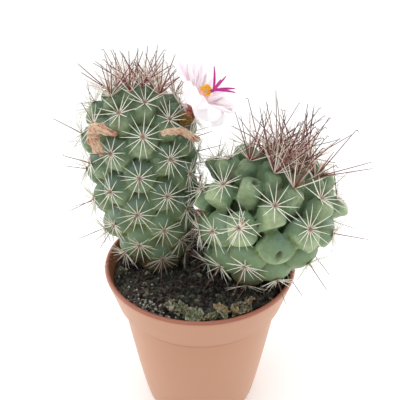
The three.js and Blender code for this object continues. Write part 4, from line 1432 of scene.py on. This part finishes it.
def central_spines(stem, star, look, obstacles, rng):
    """The hooked spines in an areole's middle, with a tuft of them in the crown, as copies for stamped()"""
    areole = star.areole
    number = look.centrals + (rng.choice(stem.tuft) if star.crown > 0.3 else 0)
    copies = []
    for _ in range(number):
        turn = rng.uniform(0, 2 * math.pi)
        side = areole.side * math.cos(turn) + areole.up * math.sin(turn)
        tilt = rng.uniform(62, 86) - rng.uniform(0, 50) * star.young
        full = mix(look.central_length * (1 - 0.25 * (star.young > 0.3)), stem.young_spine, star.crown)
        full *= rng.uniform(0.85, 1.12)
        root = areole.tip + areole.axis * (0.2 * MM) + side * (0.2 * MM)
        for _ in range(6):
            lift = math.radians(tilt)
            direction = (side * math.cos(lift) + areole.axis * math.sin(lift)).normalized()
            if is_clear(root, direction, full, obstacles):
                size = full / look.central_length
                matrix = needle_matrix(root, direction, side, size, mix(size, 1.1, star.crown))
                copies.append((rng.randrange(3), matrix, {"tint": rng.random(), "young": star.crown}))
                break
            full *= 0.92
            tilt += 4
    return copies


def star_places(stem, areoles, look, obstacles):
    """Where each radial and central spine and each pad of felt stands"""
    rng = random.Random(stem.node)
    radials = []
    centrals = []
    pads = []
    for areole in areoles:
        if areole.index not in stem.bald:
            star = star_of(stem, areole)
            pads.append(pad_of(star, rng))
            radials += radial_spines(stem, star, look, obstacles, rng)
            centrals += central_spines(stem, star, look, obstacles, rng)
    return radials, centrals, pads


def radial_colours(look):
    finish = Finish("Radial spine", Specular_IOR_Level=0.5, Roughness=0.42)
    along = finish.marked("along")
    tint = finish.marked("tint")
    young = finish.marked("young")
    flush = young * finish.step(tint, 0.3, 0.8) * finish.step(along, 1.3, 0.1)
    colours = finish.layered(
        look.pale_colour,
        (tint * 0.3, paint(242, 228, 202)),
        (finish.marked("rosy") * 0.8, paint(206, 178, 164)),
        (finish.step(along, 0.16, 0.02), look.base_colour),
        (finish.step(along, 0.9, 1.0) * 0.4, paint(158, 120, 92)),
        (young * 0.5, paint(240, 222, 200)),
        (flush * 0.7, paint(196, 126, 116)),
    )
    return finish.feed(Base_Color=colours, Roughness=0.38 + tint * 0.15)


def central_colours(look):
    finish = Finish("Central spine", Specular_IOR_Level=0.5, Roughness=0.38)
    along = finish.marked("along")
    tint = finish.marked("tint")
    red = finish.marked("young") * finish.step(along + (tint - 0.5) * 0.8, 0.85, 0.3)
    colours = finish.layered(
        look.hook_colour,
        (tint * 0.6, paint(142, 92, 70)),
        (finish.step(along, 0.3, 0.0) * 0.75, paint(200, 166, 138)),
        (red, look.young_colour),
        (finish.step(along, 0.5, 0.95) * 0.7, paint(72, 52, 46)),
    )
    return finish.feed(Base_Color=colours, Roughness=0.34 + tint * 0.15)


def felt_colours(look):
    finish = Finish("Areole felt", Specular_IOR_Level=0.15, Sheen_Weight=0.3)
    fuzz = finish.noise(0.18 * MM, detail=4, roughness=0.7)
    colours = finish.layered(
        look.wool_colour,
        (finish.marked("tint"), paint(136, 110, 96)),
        (finish.marked("cream"), paint(226, 196, 152)),
        (finish.step(fuzz, 0.6, 0.3) * 0.6, paint(122, 84, 70)),
    )
    return finish.feed(Base_Color=colours, Roughness=0.85 + fuzz * 0.1, Normal=finish.bump(fuzz, 0.12 * MM))


# The flower

FLOWER_MOUTH = Vector((0.3, 2.8, 113.5)) * MM
FLOWER_FACING = Vector((0.70, -0.10, 0.70)).normalized()
FLOWER_AXIL = Vector((-6.7, 4.6, 105.3)) * MM
CUP_DEPTH = 3.4 * MM
CUP_RADIUS = 2.4 * MM
GOLDEN_ANGLE = 2.39996


class Petal(NamedTuple):
    """One petal, with its angles in degrees.

    It has its turn from the top, its lift from the flower's plane at its end and its rise at the cup. Then
    come its shares of the usual length, width and stripe, and its twist at its end. The stripe share also
    sets its painted glow: the lower it is, the brighter and whiter the petal glows.
    """

    turn: float
    lift: float
    rise: float = 48
    length: float = 1.0
    width: float = 1.0
    stripe: float = 1.0
    twist: float = 0


OUTER_PETALS = (
    Petal(-30, 8),
    Petal(-85, 12),
    Petal(-148, 18, 52, 0.83),
    Petal(152, 32, 45, 0.76, 1.1, 0.7),
    Petal(122, -44, 78, 1.0, 1.35, 0.15),
    Petal(78, -44, 72, 0.9, 1.55, 0.1),
)
INNER_PETALS = (
    Petal(-2, 22, 44, 0.95),
    Petal(-55, 26, 44, 0.95),
    Petal(-112, 30, 44, 0.95),
    Petal(-172, 26, 44, 0.78),
    Petal(26, 14, 40, 1.0, 1.4, 0.9, -42),
    Petal(99, -56, 84, 1.02, 1.8, 0.1),
)

# Each lobe's turn about the style, from the top, and how the style's end bends away from the flower's axis
LOBE_TURNS = (-20, -90, -150, 165, 78)
STYLE_BEND = Vector((0.4, -0.6, -0.7)) * MM
STYLE_LENGTH = 7.6 * MM
LOBE_LENGTH = 6.4 * MM
LOBE_SPREAD = math.radians(48)


def in_flower(x, y, z):
    """A point from its place in the flower: the mouth of the cup, with +Z along the facing"""
    across, beside = square_to(FLOWER_FACING, Vector((0, 0, 1)))
    return FLOWER_MOUTH + across * x + beside * y + FLOWER_FACING * z


class MAMMILLARIA_OT_flower(bpy.types.Operator):
    """Models the flower: stalk, cup and petals, stamens, and the style with its lobes"""

    bl_idname = "mammillaria.flower"
    bl_label = "Flower"

    def execute(self, context):
        look = context.scene.mammillaria_flower
        corolla = corolla_of(look)
        petal_colours(look).cover(corolla)
        declare(corolla, "flower_petals", "flower_petals")
        stamens = stamens_of(look)
        pollen(look).cover(stamens)
        declare(stamens, "flower_stamens", "flower_stamens")
        pistil = pistil_of(look)
        style_colours(look).cover(pistil)
        declare(pistil, "flower_pistil", "flower_pistil")
        return {"FINISHED"}


def petal_of(look, name, shape, layer, rng):
    """One petal: a grid, bent into a blade that rises from the cup and rolls outwards, then thickened"""
    rows, columns = 16, 10
    pick()
    bpy.ops.mesh.primitive_grid_add(x_subdivisions=rows, y_subdivisions=columns, size=1)
    petal = named(name)
    turn = math.radians(shape.turn)
    spine = [(CUP_RADIUS - (0.1 + 0.2 * (1 - layer)) * MM, -1.3 * MM)]
    lifts = []
    for i in range(rows):
        lift = math.radians(mix(shape.rise, shape.lift, (i / rows) ** 0.6))
        lifts.append(lift)
        radius, height = spine[-1]
        step = look.petal_length * shape.length / rows
        spine.append((radius + step * math.cos(lift), height + step * math.sin(lift)))
    lifts.append(lifts[-1])
    places = points_of(petal)
    along = places[:, 0] + 0.5
    across = places[:, 1] * 2
    wobble = rng.uniform(0, SPIN)
    for place, t, edge in zip(places, along, across):
        i = round(t * rows)
        radius, height = spine[i]
        lift = lifts[i]
        belly = math.sin(math.pi * min(1, t * 0.80 + 0.06)) ** 1.1
        half = shape.width * look.petal_width / 2 * (0.36 + 0.70 * belly)
        half *= (1 - clamp((t - 0.80) / 0.20) ** 2.0) * 0.93 + 0.07
        cup = 0.22 * half * edge * edge - 0.12 * half * (1 - abs(edge)) ** 4
        wave = 0.22 * MM * abs(edge) * t * math.sin(9 * t + wobble + (2 if edge > 0 else 0))
        outwards = Vector((math.cos(lift), 0, math.sin(lift)))
        roll = Matrix.Rotation(math.radians(shape.twist) * t, 3, outwards)
        off = roll @ Vector((-math.sin(lift) * (cup + wave), half * edge, math.cos(lift) * (cup + wave)))
        x, y, z = radius + off.x, off.y, height + off.z
        aside = x * math.sin(turn) + y * math.cos(turn)
        place[:] = in_flower(x * math.cos(turn) - y * math.sin(turn), aside, z)
    move_points(petal, places)
    mark(petal, "along", along)
    mark(petal, "across", across)
    mark(petal, "stripe", np.full(len(places), shape.stripe))
    finish_with(petal, "SOLIDIFY", thickness=look.petal_thickness, offset=0)
    finish_with(petal, "SUBSURF", levels=1, render_levels=1)
    return petal


def corolla_of(look):
    rng = random.Random(4)
    pieces = []
    for layer, petals in enumerate((OUTER_PETALS, INNER_PETALS)):
        for i, shape in enumerate(petals):
            pieces.append(petal_of(look, f"petal{layer}{i}", shape, layer, rng))
    stalk_points = [FLOWER_AXIL, Vector((-2.6, 3.7, 107.4)) * MM, in_flower(0, 0, -CUP_DEPTH - 2.2 * MM),
                    in_flower(0, 0, -CUP_DEPTH), in_flower(0, 0, -CUP_DEPTH / 2), in_flower(0, 0, -0.2 * MM)]
    stalk_radii = [1.2 * MM, 1.5 * MM, 1.7 * MM, 2.2 * MM, 2.7 * MM, 3.0 * MM]
    stalk = tube("stalk", stalk_points, stalk_radii, sides=20, fineness=5)
    bore_points = [in_flower(0, 0, z) for z in (-CUP_DEPTH + 0.4 * MM, -CUP_DEPTH / 2, 1 * MM)]
    bore = tube("bore", bore_points, [1.7 * MM, 2.0 * MM, 2.6 * MM], sides=20)
    finish_with(stalk, "BOOLEAN", object=bore, operation="DIFFERENCE", solver="EXACT")
    discard(bore)
    mark(stalk, "along", np.zeros(len(stalk.data.vertices)))
    mark(stalk, "across", np.ones(len(stalk.data.vertices)))
    mark(stalk, "stripe", np.full(len(stalk.data.vertices), 0.6))
    return smooth_shaded(joined("flower_corolla", [stalk, *pieces]), 50)


def stamens_of(look):
    rng = random.Random(3)
    filament = turned("filament", [(0.07 * MM, 0), (0.06 * MM, 0.5), (0.05 * MM, 1.0)], sides=5)
    mark_height(filament)
    pick()
    bpy.ops.mesh.primitive_uv_sphere_add(segments=7, ring_count=5, radius=1)
    anther = named("anther")
    places = points_of(anther)
    places *= (0.26 * MM, 0.34 * MM, 0.22 * MM)
    places[:, 2] -= 0.06 * MM * np.exp(-((places[:, 0] / (0.1 * MM)) ** 2)) * np.sign(places[:, 2])
    move_points(anther, places)
    mark(anther, "along", np.full(len(places), 2.0))
    copies = []
    bottom = -CUP_DEPTH + 0.9 * MM
    for i in range(look.stamens):
        turn = i * GOLDEN_ANGLE
        out = math.sqrt((i + 0.5) / look.stamens)
        foot = in_flower(1.45 * MM * math.cos(turn), 1.45 * MM * math.sin(turn), bottom)
        spread = mix(0.4, 1.7, out) * MM
        top = mix(4.0, 1.9, out * out) * MM + rng.uniform(-0.25, 0.25) * MM
        tip = in_flower(spread * math.cos(turn) + 0.5 * MM, spread * math.sin(turn), top)
        arm = tip - foot
        across, beside = square_to(arm.normalized(), Vector((0.3, 0.2, 1)))
        copies.append((0, frame_matrix(across, beside, arm, foot), {"tint": rng.random()}))
        sideways = Matrix.Rotation(rng.uniform(0, SPIN), 3, "Z") @ Vector((1, 0, 0))
        across, beside = square_to(FLOWER_FACING, sideways)
        copies.append((1, frame_matrix(across, beside, FLOWER_FACING, tip), {"tint": rng.random()}))
    stamens = stamped("flower_stamen_ring", [filament, anther], copies)
    discard(filament, anther)
    return stamens


def pistil_of(look):
    bottom = -CUP_DEPTH + 0.3 * MM
    middle = in_flower(0, 0, bottom + 0.55 * STYLE_LENGTH) + STYLE_BEND * 0.15
    fork = in_flower(0, 0, bottom + STYLE_LENGTH) + STYLE_BEND
    style = [in_flower(0, 0, bottom), middle, fork]
    pieces = [tube("style", style, [0.3 * MM, 0.32 * MM, 0.42 * MM], sides=10)]
    for i, turn in enumerate(LOBE_TURNS):
        turn = math.radians(turn)
        points = []
        for share in (-0.08, 0.15, 0.4, 0.7, 1.0):
            lean = LOBE_SPREAD * (0.85 + 0.15 * share)
            reach = LOBE_LENGTH * share
            out = reach * math.sin(lean)
            end = in_flower(out * math.cos(turn), out * math.sin(turn), reach * math.cos(lean))
            points.append(fork + end - FLOWER_MOUTH)
        pieces.append(tube(f"lobe{i}", points, [r * MM for r in (0.3, 0.34, 0.36, 0.3, 0.14)], sides=8))
    pistil = joined("flower_style", pieces)
    heights = (points_of(pistil) - np.array(in_flower(0, 0, bottom))) @ np.array(FLOWER_FACING)
    mark(pistil, "along", heights / (STYLE_LENGTH + LOBE_LENGTH))
    return smooth_shaded(pistil, 60)


def petal_colours(look):
    # The petals' emission is a painted glow that lifts their shade
    finish = Finish("Petal", Specular_IOR_Level=0.35, Subsurface_Weight=0.8, Subsurface_Scale=0.0015,
                    Subsurface_Radius=(1.0, 0.92, 0.95), Sheen_Weight=0.15, Emission_Strength=0.2)
    along = finish.marked("along")
    across = finish.maths("ABSOLUTE", finish.marked("across"))
    veins = finish.noise(1.6 * MM, detail=4)
    stripe = finish.step(across + (veins - 0.5) * 0.3, 0.42, 0.06)
    stripe = stripe * finish.step(along, -0.1, 0.5) * finish.step(along, 1.15, 0.7) * finish.marked("stripe")
    throat = finish.step(along, 0.24, 0.02) * (0.25 + finish.marked("stripe") * 0.6)
    colours = finish.layered(
        look.petal_colour,
        (stripe * 0.85, look.stripe_colour),
        (throat, look.throat_colour),
    )
    fine = finish.noise(0.35 * MM, detail=3)
    # Painted glow: petals with a low stripe share glow brighter and whiter than the far striped ones
    glow = finish.blend(finish.marked("stripe"), paint(226, 222, 232), paint(150, 118, 136))
    return finish.feed(Base_Color=colours, Roughness=0.42 + veins * 0.15, Emission_Color=glow,
                       Normal=finish.bump(fine + veins, 0.03 * MM, 0.6))


def pollen(look):
    # Painted glow: the anthers and filaments emit a faint light that lifts their shade
    finish = Finish("Pollen", Specular_IOR_Level=0.2, Emission_Strength=0.12)
    grains = finish.noise(0.12 * MM, detail=3)
    filament = finish.step(finish.marked("along"), 1.5, 1.4)
    colours = finish.layered(
        look.anther_colour,
        (finish.marked("tint"), paint(248, 204, 60)),
        (finish.step(grains, 0.35, 0.75) * 0.4, paint(196, 110, 10)),
        (filament, paint(252, 222, 214)),
    )
    glow = finish.blend(filament, paint(200, 130, 20), paint(240, 196, 190))
    return finish.feed(Base_Color=colours, Roughness=0.7 + grains * 0.2, Emission_Color=glow,
                       Normal=finish.bump(grains, 0.08 * MM))


def style_colours(look):
    finish = Finish("Style", Specular_IOR_Level=0.35, Subsurface_Weight=0.1, Subsurface_Scale=0.0008)
    velvet = finish.noise(0.2 * MM, detail=3)
    colours = finish.layered(
        look.style_colour,
        (finish.step(finish.marked("along"), 0.45, 0.0), paint(226, 150, 180)),
        (velvet * 0.4, paint(206, 70, 150)),
    )
    return finish.feed(Base_Color=colours, Roughness=0.5 + velvet * 0.2,
                       Normal=finish.bump(velvet, 0.04 * MM))


# The withered flowers and the old bud


class Withered(NamedTuple):
    """A withered flower or bud: its piece and node, and its path and its radii along it, in millimetres"""

    name: str
    node: str
    path: tuple
    radii: tuple


WITHERED = (
    Withered("withered_left", "withered_flower_left",
             ((-24.1, -4.1, 105.3), (-23.6, -10.6, 107.2), (-26.6, -10.7, 108.4), (-28.2, -9.9, 107.8),
              (-28.8, -10.0, 105.6), (-27.9, -11.3, 103.4), (-26.4, -12.4, 101.6)),
             (0.8, 1.1, 1.4, 1.6, 1.7, 1.4, 0.8)),
    Withered("withered_right", "withered_flower_right",
             ((-5.5, 5.4, 100.7), (-0.6, 1.6, 101.4), (-1.9, -4.2, 103.8), (-5.0, -7.2, 106.6),
              (-7.9, -9.0, 107.2), (-10.6, -9.9, 107.0)),
             (0.6, 0.7, 0.7, 0.85, 0.8, 0.5)),
    Withered("bud_husk", "old_bud",
             ((-8.3, 1.1, 106.1), (-5.2, -1.6, 107.7), (-3.9, -2.6, 108.9), (-2.7, -3.4, 110.2),
              (-2.0, -3.6, 111.6)),
             (0.9, 1.4, 1.9, 1.5, 0.9)),
)


class MAMMILLARIA_OT_withered(bpy.types.Operator):
    """Models the two withered flowers and the old bud, crumpled and dry"""

    bl_idname = "mammillaria.withered"
    bl_label = "Withered flowers"

    def execute(self, context):
        look = context.scene.mammillaria_withered
        petals = dry_petals(look)
        for seed, shape in enumerate(WITHERED):
            points = [Vector(point) * MM for point in shape.path]
            piece = shrivelled(shape.name, points, [radius * MM for radius in shape.radii], seed)
            finish = petals
            if shape.node == "old_bud":
                piece = joined(shape.name, [piece, *bud_bristles(points)])
                finish = bud_skin(look)
            finish.cover(piece)
            declare(piece, shape.node, shape.node)
        return {"FINISHED"}


def on_path(points, share):
    """The point at a share of the way along a smooth curve through a list of points"""
    at = share * (len(points) - 1)
    i = min(int(at), len(points) - 2)
    t = at - i
    before, start, end, after = (points[max(0, min(len(points) - 1, i + k))] for k in (-1, 0, 1, 2))
    return (start * 2 + (end - before) * t + (before * 2 - start * 5 + end * 4 - after) * t * t
            + (start * 3 - before - end * 3 + after) * t * t * t) * 0.5


def shrivelled(name, points, radii, seed):
    """A dried bundle: a thin core with ribbons of petal twisted round it, crinkled and wavy at their edges"""
    rng = random.Random(seed)
    core = tube(f"{name}_core", points, [0.55 * radius for radius in radii], sides=12, fineness=6)
    rippled(core, 0.35 * MM, 0.8 * MM, seed)
    mark(core, "across", np.zeros(len(core.data.vertices)))
    pieces = [core]
    rows, columns = 40, 6
    for number in range(6):
        pick()
        bpy.ops.mesh.primitive_grid_add(x_subdivisions=rows, y_subdivisions=columns, size=1)
        ribbon = named(f"{name}_ribbon{number}")
        places = points_of(ribbon)
        along = places[:, 0] + 0.5
        across = places[:, 1] * 2
        begin = rng.uniform(0.12, 0.3)
        finish = rng.uniform(0.86, 1.0)
        start_turn = number * math.pi / 3
        twist = rng.uniform(-2.2, 2.2)
        for place, t, edge in zip(places, along, across):
            share = mix(begin, finish, t)
            point = on_path(points, share)
            ahead = on_path(points, min(1, share + 0.02))
            forward = (ahead - on_path(points, max(0, share - 0.02))).normalized()
            side, beside = square_to(forward, Vector((0.3, 0.2, 1)))
            girth = float(np.interp(share * (len(radii) - 1), range(len(radii)), radii))
            turn = start_turn + twist * t + 0.25 * math.sin(7 * t + number)
            out = side * math.cos(turn) + beside * math.sin(turn)
            tangent = forward.cross(out)
            crinkle = noise.noise(Vector((t * 11, edge * 1.6, number * 5.0 + seed))) * 0.75 * MM
            pleat = 0.26 * MM * math.cos(edge * 8 + 5 * t)
            half = girth * 0.95 * (0.35 + 0.65 * math.sin(math.pi * (0.1 + 0.86 * t)))
            curl = 0.35 * girth * edge * edge
            place[:] = point + out * (0.62 * girth + crinkle + pleat - curl * 0.4) + tangent * (half * edge)
        move_points(ribbon, places)
        mark(ribbon, "across", across)
        finish_with(ribbon, "SOLIDIFY", thickness=0.16 * MM, offset=0)
        pieces.append(ribbon)
    return smooth_shaded(joined(name, pieces), 60)


def bud_bristles(points):
    """The dried tips of the bud's petals, spread at its end"""
    rng = random.Random(8)
    end = points[-1]
    forward = (end - points[-3]).normalized()
    side, beside = square_to(forward, Vector((0, 0, 1)))
    bristles = []
    for i in range(26):
        turn = i * 2.4
        out = side * math.cos(turn) + beside * math.sin(turn)
        root = end - forward * (rng.uniform(0.4, 1.6) * MM) + out * (rng.uniform(0.3, 0.9) * MM)
        lean = (forward + out * rng.uniform(0.25, 1.1) + Vector((-0.35, -0.5, 0))).normalized()
        reach = rng.uniform(1.6, 3.0) * MM
        bend = Vector((rng.uniform(-0.2, 0.2), rng.uniform(-0.2, 0.2), 0.15)) * MM
        path = [root, root + lean * reach / 2 + bend, root + lean * reach]
        bristles.append(tube(f"bristle{i}", path, [0.26 * MM, 0.2 * MM, 0.07 * MM], sides=6))
    return bristles


def dry_petals(look):
    finish = Finish("Dry petals", Specular_IOR_Level=0.3, Subsurface_Weight=0.1, Subsurface_Scale=0.0008)
    across = finish.maths("ABSOLUTE", finish.marked("across"))
    folds = finish.noise(0.8 * MM, detail=5, roughness=0.6, distortion=1.5)
    flush = finish.noise(2.8 * MM, detail=2)
    colours = finish.layered(
        paint(160, 116, 92),
        (finish.step(folds, 0.25, 0.55), look.dry_colour),
        (finish.step(flush + (0.5 - across) * 0.12, 0.5, 0.62) * 0.75, look.flush_colour),
        # Painted highlight: the ribbons' edges are made paler, where their crumpled edges catch the light
        (finish.step(across, 0.55, 1.0) * 0.6, paint(240, 214, 184)),
    )
    return finish.feed(Base_Color=colours, Roughness=0.55 + folds * 0.25, Normal=finish.bump(folds, 0.2 * MM))


def bud_skin(look):
    finish = Finish("Bud husk", Specular_IOR_Level=0.3)
    folds = finish.noise(0.7 * MM, detail=5, roughness=0.6, distortion=1.0)
    patches = finish.noise(1.4 * MM, detail=3)
    tip = finish.step(finish.height() + (patches - 0.5) * 0.006, 109.6 * MM, 112.4 * MM)
    colours = finish.layered(
        paint(84, 66, 34),
        (finish.step(folds, 0.3, 0.7), look.bud_colour),
        (tip * 0.95, paint(206, 128, 118)),
    )
    return finish.feed(Base_Color=colours, Roughness=0.6 + folds * 0.2, Normal=finish.bump(folds, 0.2 * MM))


# The stage

# The camera that the photo was fitted with, and the lights' places and what they point at, in metres
CAMERA_PLACE = (0, -108.75 * MM, 138.32 * MM)
CAMERA_TILT = math.radians(62.42)
SENSOR_WIDTH = 36
LENS = 34.2
LAMP_PLACES = ((-0.40, 0.10, 0.16), (0.40, 0.10, 0.16), (-0.10, -0.15, 0.50))
LAMP_TARGET = Vector((0, 0, 70 * MM))
LAMP_SIZE = 0.25


class MAMMILLARIA_OT_stage(bpy.types.Operator):
    """Sets the plain floor, the white surroundings, the soft lights and the camera"""

    bl_idname = "mammillaria.stage"
    bl_label = "Stage"

    def execute(self, context):
        look = context.scene.mammillaria_stage
        pick()
        bpy.ops.mesh.primitive_plane_add(size=60)
        floor = named("floor")
        finish = Finish("Floor", Roughness=0.9, Specular_IOR_Level=0.0, Emission_Color=(1, 1, 1, 1),
                        Emission_Strength=0.12)
        cloud = finish.noise(0.8, detail=1)
        finish.feed(Base_Color=finish.blend(cloud, look.floor_colour, paint(255, 255, 255)))
        finish.cover(floor)
        surroundings(look.sky)
        side_lights(look.side_light)
        camera(context)
        context.scene.view_settings.view_transform = "Standard"
        context.scene.view_settings.look = "None"
        return {"FINISHED"}


def surroundings(strength):
    """White all round, and dimmer behind the camera, as in a light tent that is open at its front"""
    world = bpy.data.worlds.new("Surroundings")
    world.use_nodes = True
    tree = world.node_tree
    back = tree.nodes["Background"]
    back.inputs["Color"].default_value = (1, 1, 1, 1)
    direction = tree.nodes.new("ShaderNodeTexCoord")
    parts = tree.nodes.new("ShaderNodeSeparateXYZ")
    dimmer = tree.nodes.new("ShaderNodeMapRange")
    ramp = {"From Min": -0.8, "From Max": 0.2, "To Min": 0.35 * strength, "To Max": strength}
    for socket, value in ramp.items():
        dimmer.inputs[socket].default_value = value
    tree.links.new(direction.outputs["Generated"], parts.inputs[0])
    tree.links.new(parts.outputs["Y"], dimmer.inputs["Value"])
    tree.links.new(dimmer.outputs[0], back.inputs["Strength"])
    bpy.context.scene.world = world


def side_lights(power):
    for number, place in enumerate(LAMP_PLACES):
        pick()
        bpy.ops.object.light_add(type="AREA", location=place)
        lamp = bpy.context.object
        lamp.name = f"soft_light_{number}"
        lamp.data.shape = "DISK"
        lamp.data.size = LAMP_SIZE
        lamp.data.energy = power
        lamp.rotation_euler = (LAMP_TARGET - Vector(place)).to_track_quat("-Z", "Y").to_euler()


def camera(context):
    pick()
    bpy.ops.object.camera_add(location=CAMERA_PLACE, rotation=(CAMERA_TILT, 0, 0))
    eye = bpy.context.object
    eye.name = "camera"
    eye.data.sensor_width = SENSOR_WIDTH
    eye.data.lens = LENS
    eye.data.clip_start = 5 * MM
    context.scene.camera = eye


class MAMMILLARIA_PT_parts(bpy.types.Panel):
    """Lists the pieces of the plant with their sizes and colours"""

    bl_idname = "MAMMILLARIA_PT_parts"
    bl_label = "Potted Mammillaria"
    bl_space_type = "VIEW_3D"
    bl_region_type = "UI"
    bl_category = "Mammillaria"

    def draw(self, context):
        for operator, settings in PARTS:
            box = self.layout.box()
            box.operator(operator.bl_idname)
            if settings:
                group = getattr(context.scene, settings)
                for name in group.bl_rna.properties.keys():
                    if name not in {"rna_type", "name"}:
                        box.prop(group, name)


GROUPS = {
    "mammillaria_pot": PotSettings,
    "mammillaria_soil": SoilSettings,
    "mammillaria_skin": SkinSettings,
    "mammillaria_spines": SpineSettings,
    "mammillaria_flower": FlowerSettings,
    "mammillaria_withered": WitheredSettings,
    "mammillaria_stage": StageSettings,
}
PARTS = (
    (MAMMILLARIA_OT_stage, "mammillaria_stage"),
    (MAMMILLARIA_OT_pot, "mammillaria_pot"),
    (MAMMILLARIA_OT_soil, "mammillaria_soil"),
    (MAMMILLARIA_OT_stems, "mammillaria_skin"),
    (MAMMILLARIA_OT_flower, "mammillaria_flower"),
    (MAMMILLARIA_OT_withered, "mammillaria_withered"),
    (MAMMILLARIA_OT_spines, "mammillaria_spines"),
)


def register():
    for settings in GROUPS.values():
        bpy.utils.register_class(settings)
    for operator, _ in PARTS:
        bpy.utils.register_class(operator)
    bpy.utils.register_class(MAMMILLARIA_PT_parts)
    for name, settings in GROUPS.items():
        setattr(bpy.types.Scene, name, PointerProperty(type=settings))


def unregister():
    for name in GROUPS:
        delattr(bpy.types.Scene, name)
    bpy.utils.unregister_class(MAMMILLARIA_PT_parts)
    for operator, _ in reversed(PARTS):
        bpy.utils.unregister_class(operator)
    for settings in reversed(GROUPS.values()):
        bpy.utils.unregister_class(settings)


def main():
    register()
    bpy.ops.mammillaria.stage()
    bpy.ops.mammillaria.pot()
    bpy.ops.mammillaria.soil()
    bpy.ops.mammillaria.stems()
    bpy.ops.mammillaria.flower()
    bpy.ops.mammillaria.withered()
    bpy.ops.mammillaria.spines()


if __name__ == "__main__":
    main()
